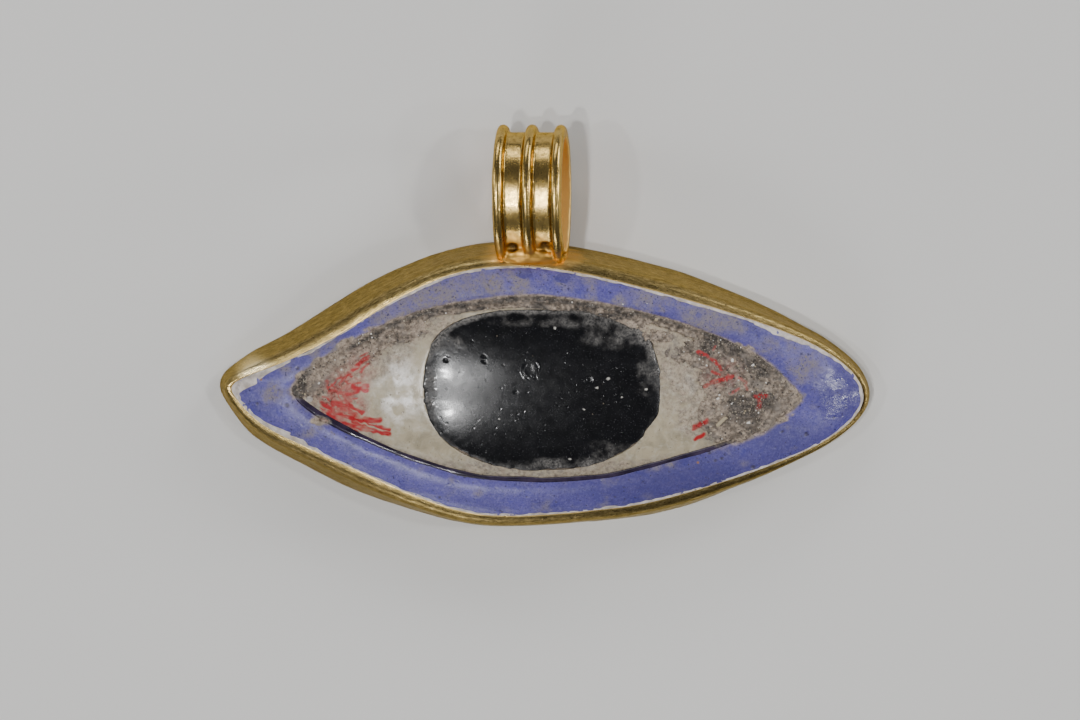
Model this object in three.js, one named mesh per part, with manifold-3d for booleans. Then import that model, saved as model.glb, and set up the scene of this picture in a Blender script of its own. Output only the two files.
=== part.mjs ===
// An eye amulet pendant: a shallow gold tray with a ribbed suspension loop, filled with white
// plaster that beds a blue glass lid, a thin dark lid line, a white eye and a black iris.
// It lies on its flat back, face up. +X runs along the eye, +Y points to the loop, +Z is up.
// All sizes are millimetres.

import * as THREE from 'three';
import { mergeVertices } from 'three/addons/utils/BufferGeometryUtils.js';
import Module from 'manifold-3d';

const wasm = await Module();
wasm.setup();

// Gold tray
const eyeLength = 60; // tip to tip, inside the gold lip
const eyeHeight = 23.2; // top to bottom, inside the gold lip
const lipMidHeight = 6.5; // the lip above the back, at the middle of the eye
const lipTipHeight = 2.5; // the same at the two tips
const lipWidth = 0.28;
const sheet = 0.45; // gold sheet of the wall
const backSheet = 0.5; // gold sheet of the back
const backEdge = 0.15; // how far the back sheet stands out past the wall
const shoulderShare = 0.5; // share of the wall's spread that the rounded shoulder takes
const undercut = 0.1; // depth of the turned edge below the sheet of the lip

// How far the wall spreads outwards from lip to back, along the eye from left tip to right tip.
// Each row: place as a share of the half length, spread.
const wallSpread = [
  [-1, 1.1], [-0.85, 1.9], [-0.6, 2.45], [-0.25, 1.85], [0, 1.8],
  [0.4, 1.95], [0.62, 1.45], [0.82, 0.85], [1, 0.7],
];

// Inlays
const fit = 0.04; // clearance between neighbouring pieces
const plasterDrop = 0.05; // plaster below the lip
const lidSeat = 1.4; // underside of the blue lid above the back
const lidEdgeRise = 0.05; // blue lid above the lip: at its outer edge
const lidShoulderRise = 0.45; // just inside that edge
const lidSlopeRise = 0.75; // on the slope
const lidRidgeRise = 0.95; // on its ridge
const lidInnerRise = 0.7; // at the eye opening
const lidShoulderAt = 0.08; // places of the shoulder, slope and ridge, as shares of the way in
const lidSlopeAt = 0.4;
const lidRidgeAt = 0.8;
const lineWidth = 0.35;
const lineRise = 0.62; // sides of the dark line above the lip
const lineCrown = 0.14; // its rounded top above those sides
const eyeSeat = 3.2; // underside of the white eye above the back
const eyeEdgeRise = 0.5;
const eyeApexRise = 1.8; // top of the eye's dome above the middle of the lip
const domePower = 2.2;
const irisWidth = 21.8;
const irisHeight = 14.8;
const irisCentre = [-0.2, 0.1];
const irisUpperPower = 2.9; // squarer above, where the upper lid cuts the disc
const irisLowerPower = 2.15;
const irisDepth = 2.3; // socket floor below the top of the dome
const irisProud = 0.12;

// Suspension loop
const loopPlace = -1.1; // its middle along the eye
const loopReach = 12.3; // wall to crest, along +Y
const loopDepth = 9.2; // front to back, along Z
const loopWidth = 6.2;
const loopTwist = THREE.MathUtils.degToRad(-7.8); // the front of the loop leans to the left
const loopFloorGap = 0.14;
const loopSink = 0.5; // how far the ring is let into the wall before it is cut to fit
const bandSheet = 0.45;
const ribCount = 3;
const ribRadius = 0.5;
const ribRise = 0.72; // rib crest above the band
const solderGap = 0.03;
const solderSize = [3.2, 1.25, 1.9]; // half sizes of the solder lump at the foot
const solderHeight = 5.0;

// Stations round the eye, anticlockwise from the right tip, as shares of the half length and
// half height: gold lip, outer edge of the blue lid, eye opening.
const stations = [
  [[1.002, -0.097], [0.989, -0.108], [0.799, -0.070]],
  [[0.982, 0.059], [0.971, 0.036], [0.764, 0.004]],
  [[0.924, 0.208], [0.914, 0.169], [0.716, 0.128]],
  [[0.796, 0.400], [0.785, 0.338], [0.644, 0.276]],
  [[0.420, 0.734], [0.418, 0.713], [0.382, 0.563]],
  [[-0.012, 0.984], [-0.012, 0.966], [-0.012, 0.742]],
  [[-0.259, 0.943], [-0.257, 0.922], [-0.234, 0.701]],
  [[-0.445, 0.737], [-0.440, 0.718], [-0.407, 0.603]],
  [[-0.632, 0.439], [-0.628, 0.417], [-0.550, 0.422]],
  [[-0.822, 0.189], [-0.810, 0.150], [-0.669, 0.224]],
  [[-0.934, 0.078], [-0.900, 0.022], [-0.743, 0.069]],
  [[-0.985, 0.002], [-0.931, -0.030], [-0.779, -0.045]],
  [[-0.963, -0.095], [-0.915, -0.099], [-0.748, -0.140]],
  [[-0.881, -0.301], [-0.861, -0.250], [-0.679, -0.258]],
  [[-0.667, -0.557], [-0.660, -0.526], [-0.540, -0.435]],
  [[-0.385, -0.869], [-0.382, -0.849], [-0.346, -0.623]],
  [[-0.199, -1.002], [-0.198, -0.981], [-0.182, -0.717]],
  [[0.174, -0.960], [0.173, -0.940], [0.167, -0.713]],
  [[0.360, -0.888], [0.358, -0.866], [0.328, -0.623]],
  [[0.799, -0.532], [0.796, -0.511], [0.623, -0.400]],
  [[0.926, -0.357], [0.918, -0.338], [0.717, -0.252]],
  [[0.983, -0.218], [0.973, -0.207], [0.774, -0.133]],
];
const stepsPerStation = 4;
const sides = stations.length * stepsPerStation;
const irisMiddle = new THREE.Vector3(irisCentre[0], irisCentre[1], 0);
const lipOutline = outline(0);
const lidOutline = outline(1);
const openingOutline = outline(2);

// One of the three outlines as a smooth closed curve, with the same count of points in each.
function outline(column) {
  const points = stations.map((row) => new THREE.Vector3(
    row[column][0] * eyeLength / 2, row[column][1] * eyeHeight / 2, 0));
  const curve = new THREE.CatmullRomCurve3(points, true, 'centripetal');
  return Array.from({ length: sides }, (_, i) => curve.getPoint(i / sides));
}

// The points of an outline moved outwards by a distance that may differ from point to point.
function grow(points, distance) {
  return points.map((point, i) => {
    const before = points[(i + sides - 1) % sides];
    const after = points[(i + 1) % sides];
    const outwards = new THREE.Vector3(after.y - before.y, before.x - after.x, 0).normalize();
    const amount = typeof distance === 'function' ? distance(point) : distance;
    return point.clone().addScaledVector(outwards, amount);
  });
}

// The points of an outline near the eye, each moved towards the middle of the iris until it lies
// the given distance inside the outline.
function inset(points, distance) {
  const normals = grow(points, 1);
  return points.map((point, i) => {
    const inwards = irisMiddle.clone().sub(point).normalize();
    const slant = inwards.dot(point.clone().sub(normals[i]));
    return point.clone().addScaledVector(inwards, distance / slant);
  });
}

// The points of an outline lifted to a height that may follow the place.
function lift(points, height) {
  return points.map((point, i) => new THREE.Vector3(
    point.x, point.y, typeof height === 'function' ? height(point, i) : height));
}

function between(inner, outer, share) {
  return inner.map((point, i) => point.clone().lerp(outer[i], share));
}

// Height of the gold lip, which sags from the middle of the eye to its tips.
function lipHeight(point) {
  const place = point.x / (eyeLength / 2);
  return lipMidHeight - (lipMidHeight - lipTipHeight) * place * place;
}

// The wall's spread at a place along the eye.
function spread(point) {
  const place = THREE.MathUtils.clamp(point.x / (eyeLength / 2), -1, 1);
  const next = Math.max(1, wallSpread.findIndex((row) => row[0] >= place));
  const [from, low] = wallSpread[next - 1];
  const [to, high] = wallSpread[next];
  return THREE.MathUtils.lerp(low, high, THREE.MathUtils.smoothstep(place, from, to));
}

const shoulderRadius = (point) => (spread(point) - lipWidth) * shoulderShare;

// A closed body through rings of equal count. A body that closes on itself joins its last ring
// to its first, and any other is capped at each end by a point in the middle of the ring. An
// apex takes the place of the last of those points.
function loft(rings, { closed = false, apex = null } = {}) {
  const count = rings[0].length;
  const positions = rings.flat().flatMap((point) => [point.x, point.y, point.z]);
  const faces = [];
  const bands = closed ? rings.length : rings.length - 1;
  for (let band = 0; band < bands; band += 1) {
    const low = band * count;
    const high = ((band + 1) % rings.length) * count;
    for (let i = 0; i < count; i += 1) {
      const next = (i + 1) % count;
      faces.push(low + i, low + next, high + next, low + i, high + next, high + i);
    }
  }
  if (!closed) {
    for (const end of [0, rings.length - 1]) {
      const middle = rings[end].reduce((sum, point) => sum.add(point), new THREE.Vector3());
      middle.divideScalar(count);
      if (apex && end > 0) middle.copy(apex);
      const tip = positions.length / 3;
      positions.push(middle.x, middle.y, middle.z);
      for (let i = 0; i < count; i += 1) {
        const pair = [end * count + i, end * count + ((i + 1) % count)];
        if (end === 0) pair.reverse();
        faces.push(pair[0], pair[1], tip);
      }
    }
  }
  const geometry = new THREE.BufferGeometry();
  geometry.setAttribute('position', new THREE.Float32BufferAttribute(positions, 3));
  geometry.setIndex(faces);
  return faceOutwards(geometry);
}

// Turns every face over if the body is inside out.
function faceOutwards(geometry) {
  const index = geometry.index.array;
  const at = (i) => new THREE.Vector3().fromBufferAttribute(geometry.attributes.position, index[i]);
  let volume = 0;
  for (let i = 0; i < index.length; i += 3) {
    volume += at(i).dot(at(i + 1).cross(at(i + 2)));
  }
  if (volume < 0) {
    for (let i = 0; i < index.length; i += 3) {
      [index[i + 1], index[i + 2]] = [index[i + 2], index[i + 1]];
    }
  }
  geometry.computeVertexNormals();
  return geometry;
}

// Outer skin of the gold tray, from the edge of its back up over the rounded shoulder to the
// lip. Clearance grows it on every side.
function trayOutside(clearance = 0) {
  const shoulderSteps = 3;
  const ring = (offset, height) => lift(grow(lipOutline, (p) => offset(p) + clearance), height);
  const rings = [
    ring((p) => spread(p) + backEdge, -clearance),
    ring((p) => spread(p) + backEdge, backSheet + clearance),
    ring(spread, backSheet + clearance),
  ];
  for (let step = 0; step <= shoulderSteps; step += 1) {
    const angle = (step / shoulderSteps) * Math.PI / 2;
    const offset = (p) => lipWidth + shoulderRadius(p) * Math.cos(angle);
    const drop = (p) => shoulderRadius(p) * (1 - Math.sin(angle));
    const points = grow(lipOutline, (p) => offset(p) + clearance);
    rings.push(points.map((point, i) => new THREE.Vector3(
      point.x, point.y, lipHeight(lipOutline[i]) - drop(lipOutline[i]) + clearance)));
  }
  return rings;
}

// Rings of the tray's inside, from the lip down to the floor. Clearance shrinks it.
function trayInside(clearance = 0) {
  const heightAt = (drop) => (_, i) => lipHeight(lipOutline[i]) - drop(lipOutline[i]);
  const turned = (p) => sheet + clearance + Math.max(shoulderRadius(p) - sheet, 0) + undercut;
  const behind = (p) => Math.max(lipWidth + shoulderRadius(p) - sheet, 0) - clearance;
  return [
    lift(grow(lipOutline, -clearance), heightAt(() => sheet + clearance)),
    lift(grow(lipOutline, behind), heightAt(turned)),
    lift(grow(lipOutline, (p) => spread(p) - sheet - clearance), backSheet + clearance),
  ];
}

function goldSetting() {
  const lip = lift(lipOutline, lipHeight);
  return loft([...trayOutside(), lip, ...trayInside()]);
}

// White plaster: fills the tray, carries the inlays and shows as a thin line inside the lip.
function plasterBedding() {
  const lidWall = grow(lidOutline, fit);
  const pedestal = inset(openingOutline, fit);
  const rim = (point) => lipHeight(point) - plasterDrop;
  return loft([
    lift(pedestal, eyeSeat - fit),
    lift(pedestal, lidSeat - fit),
    lift(lidWall, lidSeat - fit),
    lift(lidWall, rim),
    lift(grow(lipOutline, -fit), rim),
    ...trayInside(fit),
  ]);
}

// Blue glass lid: a ring with a rounded outer edge, a slope up to a ridge and a narrow bevel
// down to the eye opening. The section gives places as shares of the way in, with heights.
function blueLid() {
  const section = [
    [0, lidEdgeRise], [lidShoulderAt, lidShoulderRise], [lidSlopeAt, lidSlopeRise],
    [lidRidgeAt, lidRidgeRise], [1, lidInnerRise],
  ];
  const top = section.map(([share, rise]) => lift(
    between(lidOutline, openingOutline, share), (point) => lipHeight(point) + rise));
  return loft([lift(lidOutline, lidSeat), ...top, lift(openingOutline, lidSeat)], { closed: true });
}

// Dark glass line between the lid and the eye.
function lidLine() {
  const outer = inset(openingOutline, fit);
  const inner = inset(openingOutline, fit + lineWidth);
  const crown = (point) => lipHeight(point) + lineRise + lineCrown;
  const side = (point) => lipHeight(point) + lineRise;
  return loft([
    lift(outer, eyeSeat), lift(outer, side), lift(between(outer, inner, 0.5), crown),
    lift(inner, side), lift(inner, eyeSeat),
  ], { closed: true });
}

const eyeOutline = inset(openingOutline, 2 * fit + lineWidth);
const eyeApex = lipMidHeight + eyeApexRise;
const socketFloor = eyeApex - irisDepth;

// The iris is a disc, squarer above than below, with one point in the direction of each point
// of the opening.
const irisOutline = openingOutline.map((point) => {
  const angle = Math.atan2(point.y / eyeHeight, point.x / eyeLength);
  const power = 2 / (angle > 0 ? irisUpperPower : irisLowerPower);
  const bend = (value) => Math.sign(value) * Math.abs(value) ** power;
  return new THREE.Vector3(
    irisCentre[0] + bend(Math.cos(angle)) * irisWidth / 2,
    irisCentre[1] + bend(Math.sin(angle)) * irisHeight / 2, 0);
});

// Height of the eye's dome at a point on the way from the middle of the iris to the rim.
function domeHeight(point, i) {
  const rim = eyeOutline[i];
  const flat = new THREE.Vector3(point.x, point.y, 0);
  const share = flat.distanceTo(irisMiddle) / rim.distanceTo(irisMiddle);
  const rimHeight = lipHeight(rim) + eyeEdgeRise;
  return eyeApex + (rimHeight - eyeApex) * Math.min(share, 1) ** domePower;
}

function eyeWhite() {
  const socket = grow(irisOutline, fit);
  const dome = [1, 0.66, 0.33, 0].map((share) => lift(between(socket, eyeOutline, share), domeHeight));
  return loft([lift(eyeOutline, eyeSeat), ...dome, lift(socket, socketFloor)]);
}

function iris() {
  const proud = (point, i) => domeHeight(point, i) + irisProud;
  const middle = irisOutline.map(() => irisMiddle);
  const dome = [0.97, 0.7, 0.35].map((share) => lift(between(middle, irisOutline, share), proud));
  const apex = new THREE.Vector3(irisMiddle.x, irisMiddle.y, eyeApex + irisProud);
  const skirt = [lift(irisOutline, socketFloor + fit), lift(irisOutline, domeHeight)];
  return loft([...skirt, ...dome], { apex });
}

// Cross-section of the loop's band: place across the band, height above its inner face.
function bandSection() {
  const points = [[loopWidth / 2, 0], [-loopWidth / 2, 0]];
  const spacing = (loopWidth - 2 * ribRadius) / (ribCount - 1);
  const centre = bandSheet + ribRise - ribRadius;
  const flank = Math.asin((centre - bandSheet) / ribRadius);
  const ribSteps = 4;
  for (let rib = 0; rib < ribCount; rib += 1) {
    const middle = -loopWidth / 2 + ribRadius + rib * spacing;
    for (let step = 0; step <= ribSteps; step += 1) {
      const angle = Math.PI + flank - (step / ribSteps) * (Math.PI + 2 * flank);
      points.push([middle + Math.cos(angle) * ribRadius, centre + Math.sin(angle) * ribRadius]);
    }
  }
  return points;
}

// The ring of the loop, standing across the eye and twisted a little about +Y.
function loopRing(middle) {
  const steps = 44;
  const crest = bandSheet + ribRise;
  const section = bandSection();
  const rings = [];
  for (let step = 0; step < steps; step += 1) {
    const angle = (step / steps) * Math.PI * 2;
    const outwards = new THREE.Vector3(
      0, Math.cos(angle) / (loopReach + loopSink), Math.sin(angle) / loopDepth).normalize();
    const outer = new THREE.Vector3(
      0, Math.cos(angle) * (loopReach + loopSink) / 2, Math.sin(angle) * loopDepth / 2);
    rings.push(section.map(([across, height]) => new THREE.Vector3(across, 0, 0)
      .add(outer).addScaledVector(outwards, height - crest)
      .applyAxisAngle(new THREE.Vector3(0, 1, 0), loopTwist).add(middle)));
  }
  return loft(rings, { closed: true });
}

function toSolid(geometry) {
  const bare = geometry.clone();
  bare.deleteAttribute('normal');
  bare.deleteAttribute('uv');
  const merged = mergeVertices(bare);
  return new wasm.Manifold(new wasm.Mesh({
    numProp: 3,
    vertProperties: new Float32Array(merged.attributes.position.array),
    triVerts: new Uint32Array(merged.index.array),
  }));
}

function toGeometry(solid) {
  const mesh = solid.getMesh();
  const geometry = new THREE.BufferGeometry();
  geometry.setAttribute('position', new THREE.BufferAttribute(mesh.vertProperties, 3));
  geometry.setIndex(new THREE.BufferAttribute(mesh.triVerts, 1));
  geometry.computeVertexNormals();
  return geometry;
}

// The ring and the lump of solder at its foot as one piece, cut to the outside of the tray.
function suspensionLoop() {
  const upper = lipOutline.filter((point) => point.y > 0);
  const nearest = upper.reduce((best, point) => (
    Math.abs(point.x - loopPlace) < Math.abs(best.x - loopPlace) ? point : best));
  const foot = nearest.y + lipWidth + shoulderRadius(nearest);
  const lean = Math.cos(loopTwist) * loopDepth / 2 + Math.abs(Math.sin(loopTwist)) * loopWidth / 2;
  const middle = new THREE.Vector3(
    loopPlace, foot + (loopReach - loopSink) / 2, loopFloorGap + lean);
  const solder = new THREE.SphereGeometry(1, 16, 10);
  solder.scale(...solderSize);
  solder.translate(loopPlace, foot, solderHeight);
  const tray = toSolid(loft(trayOutside(solderGap)));
  return toGeometry(toSolid(loopRing(middle)).add(toSolid(solder)).subtract(tray));
}

function piece(name, geometry, colour, roughness, metalness) {
  const material = new THREE.MeshStandardMaterial({ color: colour, roughness, metalness });
  const mesh = new THREE.Mesh(geometry, material);
  mesh.name = name;
  return mesh;
}

const pendant = new THREE.Group();
pendant.add(
  piece('gold_setting', goldSetting(), 0xc9a24a, 0.3, 1),
  piece('suspension_loop', suspensionLoop(), 0xd8ab45, 0.25, 1),
  piece('plaster_bedding', plasterBedding(), 0xd8cfc8, 0.9, 0),
  piece('blue_lid', blueLid(), 0x5f69be, 0.35, 0),
  piece('lid_line', lidLine(), 0x231d2e, 0.15, 0),
  piece('eye_white', eyeWhite(), 0xbeb9aa, 0.35, 0),
  piece('iris', iris(), 0x1c1c24, 0.2, 0),
);

// The origin is the middle of the box that the pendant fills, on the surface it lies on.
const box = new THREE.Box3().setFromObject(pendant, true);
pendant.position.set(-(box.min.x + box.max.x) / 2, -(box.min.y + box.max.y) / 2, -box.min.z);

const part = new THREE.Group();
part.add(pendant);

export default part;
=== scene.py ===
"""Dresses an eye amulet pendant for rendering.

Each solid of the frame is read with rays, rebuilt as a fine mesh with its own relief, and
given a procedural finish. Lengths are worked in millimetres and stored in metres.
"""

import functools
import itertools
import math

import bpy
import numpy as np
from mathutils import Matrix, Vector
from mathutils.bvhtree import BVHTree


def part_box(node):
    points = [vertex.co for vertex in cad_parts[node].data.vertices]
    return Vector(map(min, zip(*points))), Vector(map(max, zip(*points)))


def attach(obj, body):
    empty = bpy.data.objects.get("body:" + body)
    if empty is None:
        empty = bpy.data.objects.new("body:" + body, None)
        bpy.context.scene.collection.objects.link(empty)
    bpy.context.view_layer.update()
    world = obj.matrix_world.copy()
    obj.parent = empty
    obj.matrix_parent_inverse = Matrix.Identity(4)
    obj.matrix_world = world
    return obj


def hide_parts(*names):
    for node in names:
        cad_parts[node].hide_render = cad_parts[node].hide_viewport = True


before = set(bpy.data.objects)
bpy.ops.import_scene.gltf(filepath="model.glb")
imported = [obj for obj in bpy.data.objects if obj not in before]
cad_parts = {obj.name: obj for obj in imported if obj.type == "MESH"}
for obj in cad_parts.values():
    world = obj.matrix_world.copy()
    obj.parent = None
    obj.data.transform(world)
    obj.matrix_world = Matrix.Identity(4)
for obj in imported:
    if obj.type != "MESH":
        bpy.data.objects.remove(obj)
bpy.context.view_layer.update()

bl_info = {
    "name": "Eye Amulet Pendant",
    "version": (1, 0, 0),
    "blender": (4, 5, 0),
    "location": "View3D > Sidebar > Amulet",
    "description": "Builds the finished gold, glass and plaster of an eye amulet pendant",
    "category": "Add Mesh",
}

MM = 0.001
# The pieces of the front, from the middle outwards.
FACE_ORDER = ("iris", "eye_white", "lid_line", "blue_lid", "plaster_bedding", "gold_setting")
# Spokes from the middle of the iris, on which the points of every front piece lie.
COLUMNS = 800
# Rays look straight down on the front from this height.
RAY_HEIGHT = 30
DOWN = Vector((0, 0, -1))
# Noise that mustn't follow the height of its own surface is read at a fixed level.
LIP_LEVEL = 5.0
CRUST_LEVEL = 6.0
# What colours, lengths and angles have in common as properties.
COLOUR = {"subtype": "COLOR", "size": 3, "min": 0, "max": 1}
LENGTH = {"subtype": "DISTANCE", "unit": "LENGTH"}
ANGLE = {"subtype": "ANGLE", "unit": "ROTATION"}

# Spots on the iris: x, y, radius, depth. A negative depth is a bump.
IRIS_PITS = (
    (3.98, -4.36, 0.36, 0.10), (3.98, -4.36, 0.17, -0.07), (-1.55, -3.34, 0.5, 0.04),
    (-5.61, -2.23, 0.16, 0.09), (-5.61, -2.70, 0.14, 0.08), (-9.11, -2.60, 0.17, 0.08),
    (-0.9, -4.1, 0.16, 0.06), (6.4, -3.3, 0.15, 0.05), (-2.7, -5.5, 0.14, 0.05),
)
# Curved scratches on the iris: x, y, radius, middle angle, half turn, height.
IRIS_ARCS = ((-1.3, -3.55, 0.72, 3.3, 1.3, -0.04), (-1.3, -3.55, 0.86, 3.3, 1.2, 0.02),
             (-1.0, -3.2, 0.5, 0.3, 1.0, 0.025), (4.0, -4.4, 0.42, 0.5, 2.8, 0.025))
# Pale specks on the iris: x, y, radius.
IRIS_SPECKS = (
    (4.81, -5.10, 0.13), (5.82, -4.27, 0.16), (9.33, -5.29, 0.13), (2.32, -11.77, 0.12),
    (0.93, 0.36, 0.13), (3.6, -7.1, 0.09), (7.1, -6.0, 0.1), (-4.2, -8.0, 0.09),
)

# Red strokes painted in the corners of the white: width, strength, then the points x, y.
VEINS = (
    (0.52, 1.0, ((-18.4, -6.0), (-17.6, -5.6), (-16.5, -5.1))),
    (0.44, 1.0, ((-17.8, -5.2), (-16.5, -5.55))),
    (0.34, 0.95, ((-18.5, -4.4), (-17.7, -3.6), (-16.4, -2.4))),
    (0.24, 0.85, ((-17.05, -3.73), (-16.4, -3.03))),
    (0.2, 0.6, ((-17.0, -2.4), (-16.5, -1.98))),
    (0.28, 0.75, ((-19.1, -5.1), (-18.3, -3.86))),
    (0.36, 0.85, ((-20.3, -4.8), (-19.8, -6.2), (-19.65, -7.0))),
    (0.5, 1.0, ((-20.7, -6.75), (-19.6, -7.7), (-18.3, -8.1), (-16.9, -8.35), (-15.3, -8.3))),
    (0.42, 0.95, ((-19.6, -6.6), (-18.5, -6.86), (-17.7, -7.27), (-16.9, -7.66))),
    (0.42, 1.0, ((-20.2, -7.8), (-18.8, -8.63), (-16.9, -9.17), (-15.3, -9.45), (-14.35, -9.6))),
    (0.32, 1.0, ((-15.6, -8.8), (-14.4, -9.2))),
    (0.26, 0.9, ((-17.9, -8.5), (-16.6, -9.0), (-15.9, -9.3))),
    (0.3, 0.8, ((-19.9, -5.6), (-18.9, -5.9), (-18.2, -5.5))),
    (0.24, 0.6, ((-18.1, -9.4), (-16.9, -9.9))),
    (0.3, 0.85, ((-19.2, -7.2), (-18.2, -7.5), (-17.3, -8.0))),
    (0.18, 0.9, ((-20.6, -6.1), (-19.5, -6.9), (-18.2, -7.3))),
    (0.16, 0.9, ((-20.9, -7.3), (-19.6, -8.3), (-18.3, -8.9), (-17.2, -9.6))),
    (0.16, 0.85, ((-19.8, -5.0), (-18.9, -6.6), (-17.8, -7.0))),
    (0.18, 0.9, ((-19.0, -5.7), (-18.4, -6.4), (-17.4, -6.3))),
    (0.16, 0.9, ((-18.2, -7.7), (-16.4, -8.7), (-15.0, -9.0))),
    (0.14, 0.8, ((-18.9, -4.2), (-18.3, -5.0), (-17.0, -4.9))),
    (0.16, 0.8, ((-20.0, -5.5), (-19.2, -4.4), (-17.9, -4.2))),
    (0.2, 0.9, ((-20.4, -7.2), (-19.3, -7.4), (-18.6, -7.9))),
    (0.32, 0.95, ((14.2, -1.9), (15.05, -2.35), (15.75, -2.87), (16.25, -3.55))),
    (0.26, 0.8, ((15.55, -3.8), (16.1, -4.0))),
    (0.4, 0.95, ((14.85, -5.0), (15.55, -4.67), (16.6, -4.4), (17.3, -4.24))),
    (0.26, 0.6, ((17.2, -5.8), (18.0, -5.44))),
    (0.3, 0.5, ((18.0, -4.4), (18.65, -4.93), (18.75, -5.44))),
    (0.46, 0.9, ((19.7, -6.15), (20.5, -6.15))),
    (0.4, 0.85, ((20.0, -6.5), (19.85, -7.15))),
    (0.44, 1.0, ((13.9, -8.95), (14.5, -8.55), (14.95, -8.37))),
    (0.34, 1.0, ((13.85, -10.1), (14.7, -9.57))),
    (0.2, 0.8, ((15.75, -10.95), (16.15, -10.85))),
    (0.2, 0.7, ((15.6, -1.75), (15.75, -1.5))),
)

# Patches are soft spots: x, y, reach along x, reach along y, strength.
# A pink wash between the red strokes.
WASH_PATCHES = ((-18.9, -7.2, 2.2, 1.5, 1.0), (-18.6, -5.2, 1.8, 1.5, 0.6),
                (-17.0, -3.6, 1.4, 1.6, 0.4), (16.4, -4.0, 1.8, 1.4, 0.3))

# The thick crust of dirt, and how far it spills over the blue glass.
CRUST_PATCHES = (
    (-22.5, -4.9, 1.6, 1.6, 1.0), (-20.9, -2.9, 2.8, 2.2, 1.0), (-17.6, -1.3, 3.2, 2.0, 1.0),
    (-20.3, -5.0, 1.6, 1.4, 0.8), (-13.4, 0.1, 2.6, 1.2, 0.9), (-20.4, -6.6, 1.2, 0.9, 0.6),
    (18.4, -4.4, 4.2, 2.9, 1.0), (21.4, -5.9, 3.6, 2.4, 1.0), (17.4, -8.4, 3.9, 2.2, 1.0),
    (14.6, -2.0, 3.6, 1.4, 0.85), (20.6, -7.8, 1.6, 1.2, 0.8), (-20.9, -8.5, 1.0, 0.5, 0.75),
    (7.9, 0.9, 2.2, 0.7, 0.8), (10.2, -0.4, 2.0, 0.8, 0.7),
)
SPILL_PATCHES = ((-21.6, -3.6, 2.0, 1.8, 1.0), (20.0, -9.0, 1.6, 1.2, 0.6))
# A thin veil that only dulls what is under it.
VEIL_PATCHES = (
    (-19.8, -5.6, 3.2, 2.8, 0.95), (-16.5, -2.6, 3.8, 2.0, 0.8), (12.8, -4.0, 3.4, 3.6, 0.9),
    (-13.2, -1.3, 2.8, 1.5, 0.55), (13.8, -8.2, 2.0, 2.2, 0.6), (0.0, -13.0, 11.0, 1.5, 1.0),
    (-16.0, -8.9, 2.4, 0.9, 0.5), (-17.0, -6.9, 1.0, 0.7, 0.7),
    (9.5, -1.2, 3.6, 1.8, 1.0), (12.5, -1.6, 2.0, 1.6, 0.8), (7.8, 0.6, 2.8, 1.4, 1.0),
    (-9.6, 0.6, 2.8, 1.5, 1.0),
)
# Where the crust is nearly black.
DARK_PATCHES = (
    (-23.0, -5.2, 1.1, 1.5, 1.0), (18.9, -7.5, 1.9, 1.6, 1.0), (16.2, -1.1, 1.5, 0.9, 1.0),
    (20.3, -3.5, 2.4, 1.0, 0.65), (19.9, -6.1, 1.5, 0.8, 0.7), (-15.5, -0.4, 3.0, 0.4, 0.5),
    (0.0, 1.4, 12.0, 0.8, 1.0), (17.5, -3.4, 4.0, 2.2, 0.3), (14.0, -1.6, 3.0, 1.0, 0.5),
)
# Where the crust's low places get little painted shade, and the upper rim, where few grains lie.
EVEN_PATCHES = ((-19.5, -3.5, 3.5, 3.0, 1.0),)
RIM_PATCHES = ((0.0, 1.6, 12.0, 1.6, 1.0),)
# Grey film on the blue glass.
FILM_PATCHES = (
    (-10.0, 2.9, 5.5, 2.2, 1.0), (-3.0, 4.6, 3.6, 1.6, 1.0), (3.5, 4.8, 3.0, 1.2, 0.7),
    (9.5, 2.9, 4.0, 1.2, 0.85), (15.5, 0.9, 4.0, 1.5, 0.8), (20.5, -1.6, 3.0, 1.8, 0.6),
    (24.5, -4.0, 1.8, 1.2, 0.5), (20.5, -9.5, 1.8, 0.9, 0.6), (-13.5, 1.2, 3.0, 0.9, 0.95),
    (-20.0, -1.6, 3.4, 1.2, 1.0), (-25.0, -5.0, 2.4, 2.6, 0.5),
    (-21.0, -9.0, 1.6, 1.0, 0.4),
)
# Dirt smeared out over the blue glass.
SMEAR_PATCHES = (
    (-21.3, -2.6, 1.7, 1.1, 1.0), (-19.0, -1.2, 2.0, 0.9, 1.0), (-22.9, -4.0, 0.9, 1.1, 0.9),
    (-16.0, 0.2, 2.0, 0.6, 0.6), (-21.2, -8.6, 0.9, 0.5, 1.0), (-19.9, -9.8, 0.6, 0.5, 0.7),
    (22.2, -8.2, 1.4, 0.8, 0.9), (24.2, -6.4, 0.7, 0.8, 0.4), (18.6, -1.6, 2.4, 0.6, 0.6),
    (-6.0, 1.9, 6.0, 0.5, 0.8), (6.0, 1.9, 5.0, 0.4, 0.7),
)
# Where the film flaked off and the glass is clear, and where the blue is darker: painted shade.
CLEAR_PATCHES = ((-1.9, 5.35, 0.8, 0.55, 1.0), (1.7, 4.95, 0.75, 0.5, 1.0),
                 (0.2, 5.7, 0.4, 0.3, 0.8))
PAINTED_SHADE_PATCHES = ((12.0, -14.0, 11.0, 3.5, 0.8), (22.0, -10.0, 4.0, 2.0, 0.6),
                (27.6, -6.3, 2.4, 3.2, 0.6), (18.0, 0.8, 7.0, 1.6, 0.5))
# The glossy right tip of the lid.
TIP_PATCHES = ((27.6, -6.3, 2.6, 3.4, 1.0),)
# Places in the white painted lighter: a painted highlight.
HIGHLIGHT_PATCHES = ((-13.5, -5.6, 2.0, 3.0, 1.0), (13.0, -6.0, 2.5, 4.0, 0.2))
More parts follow.
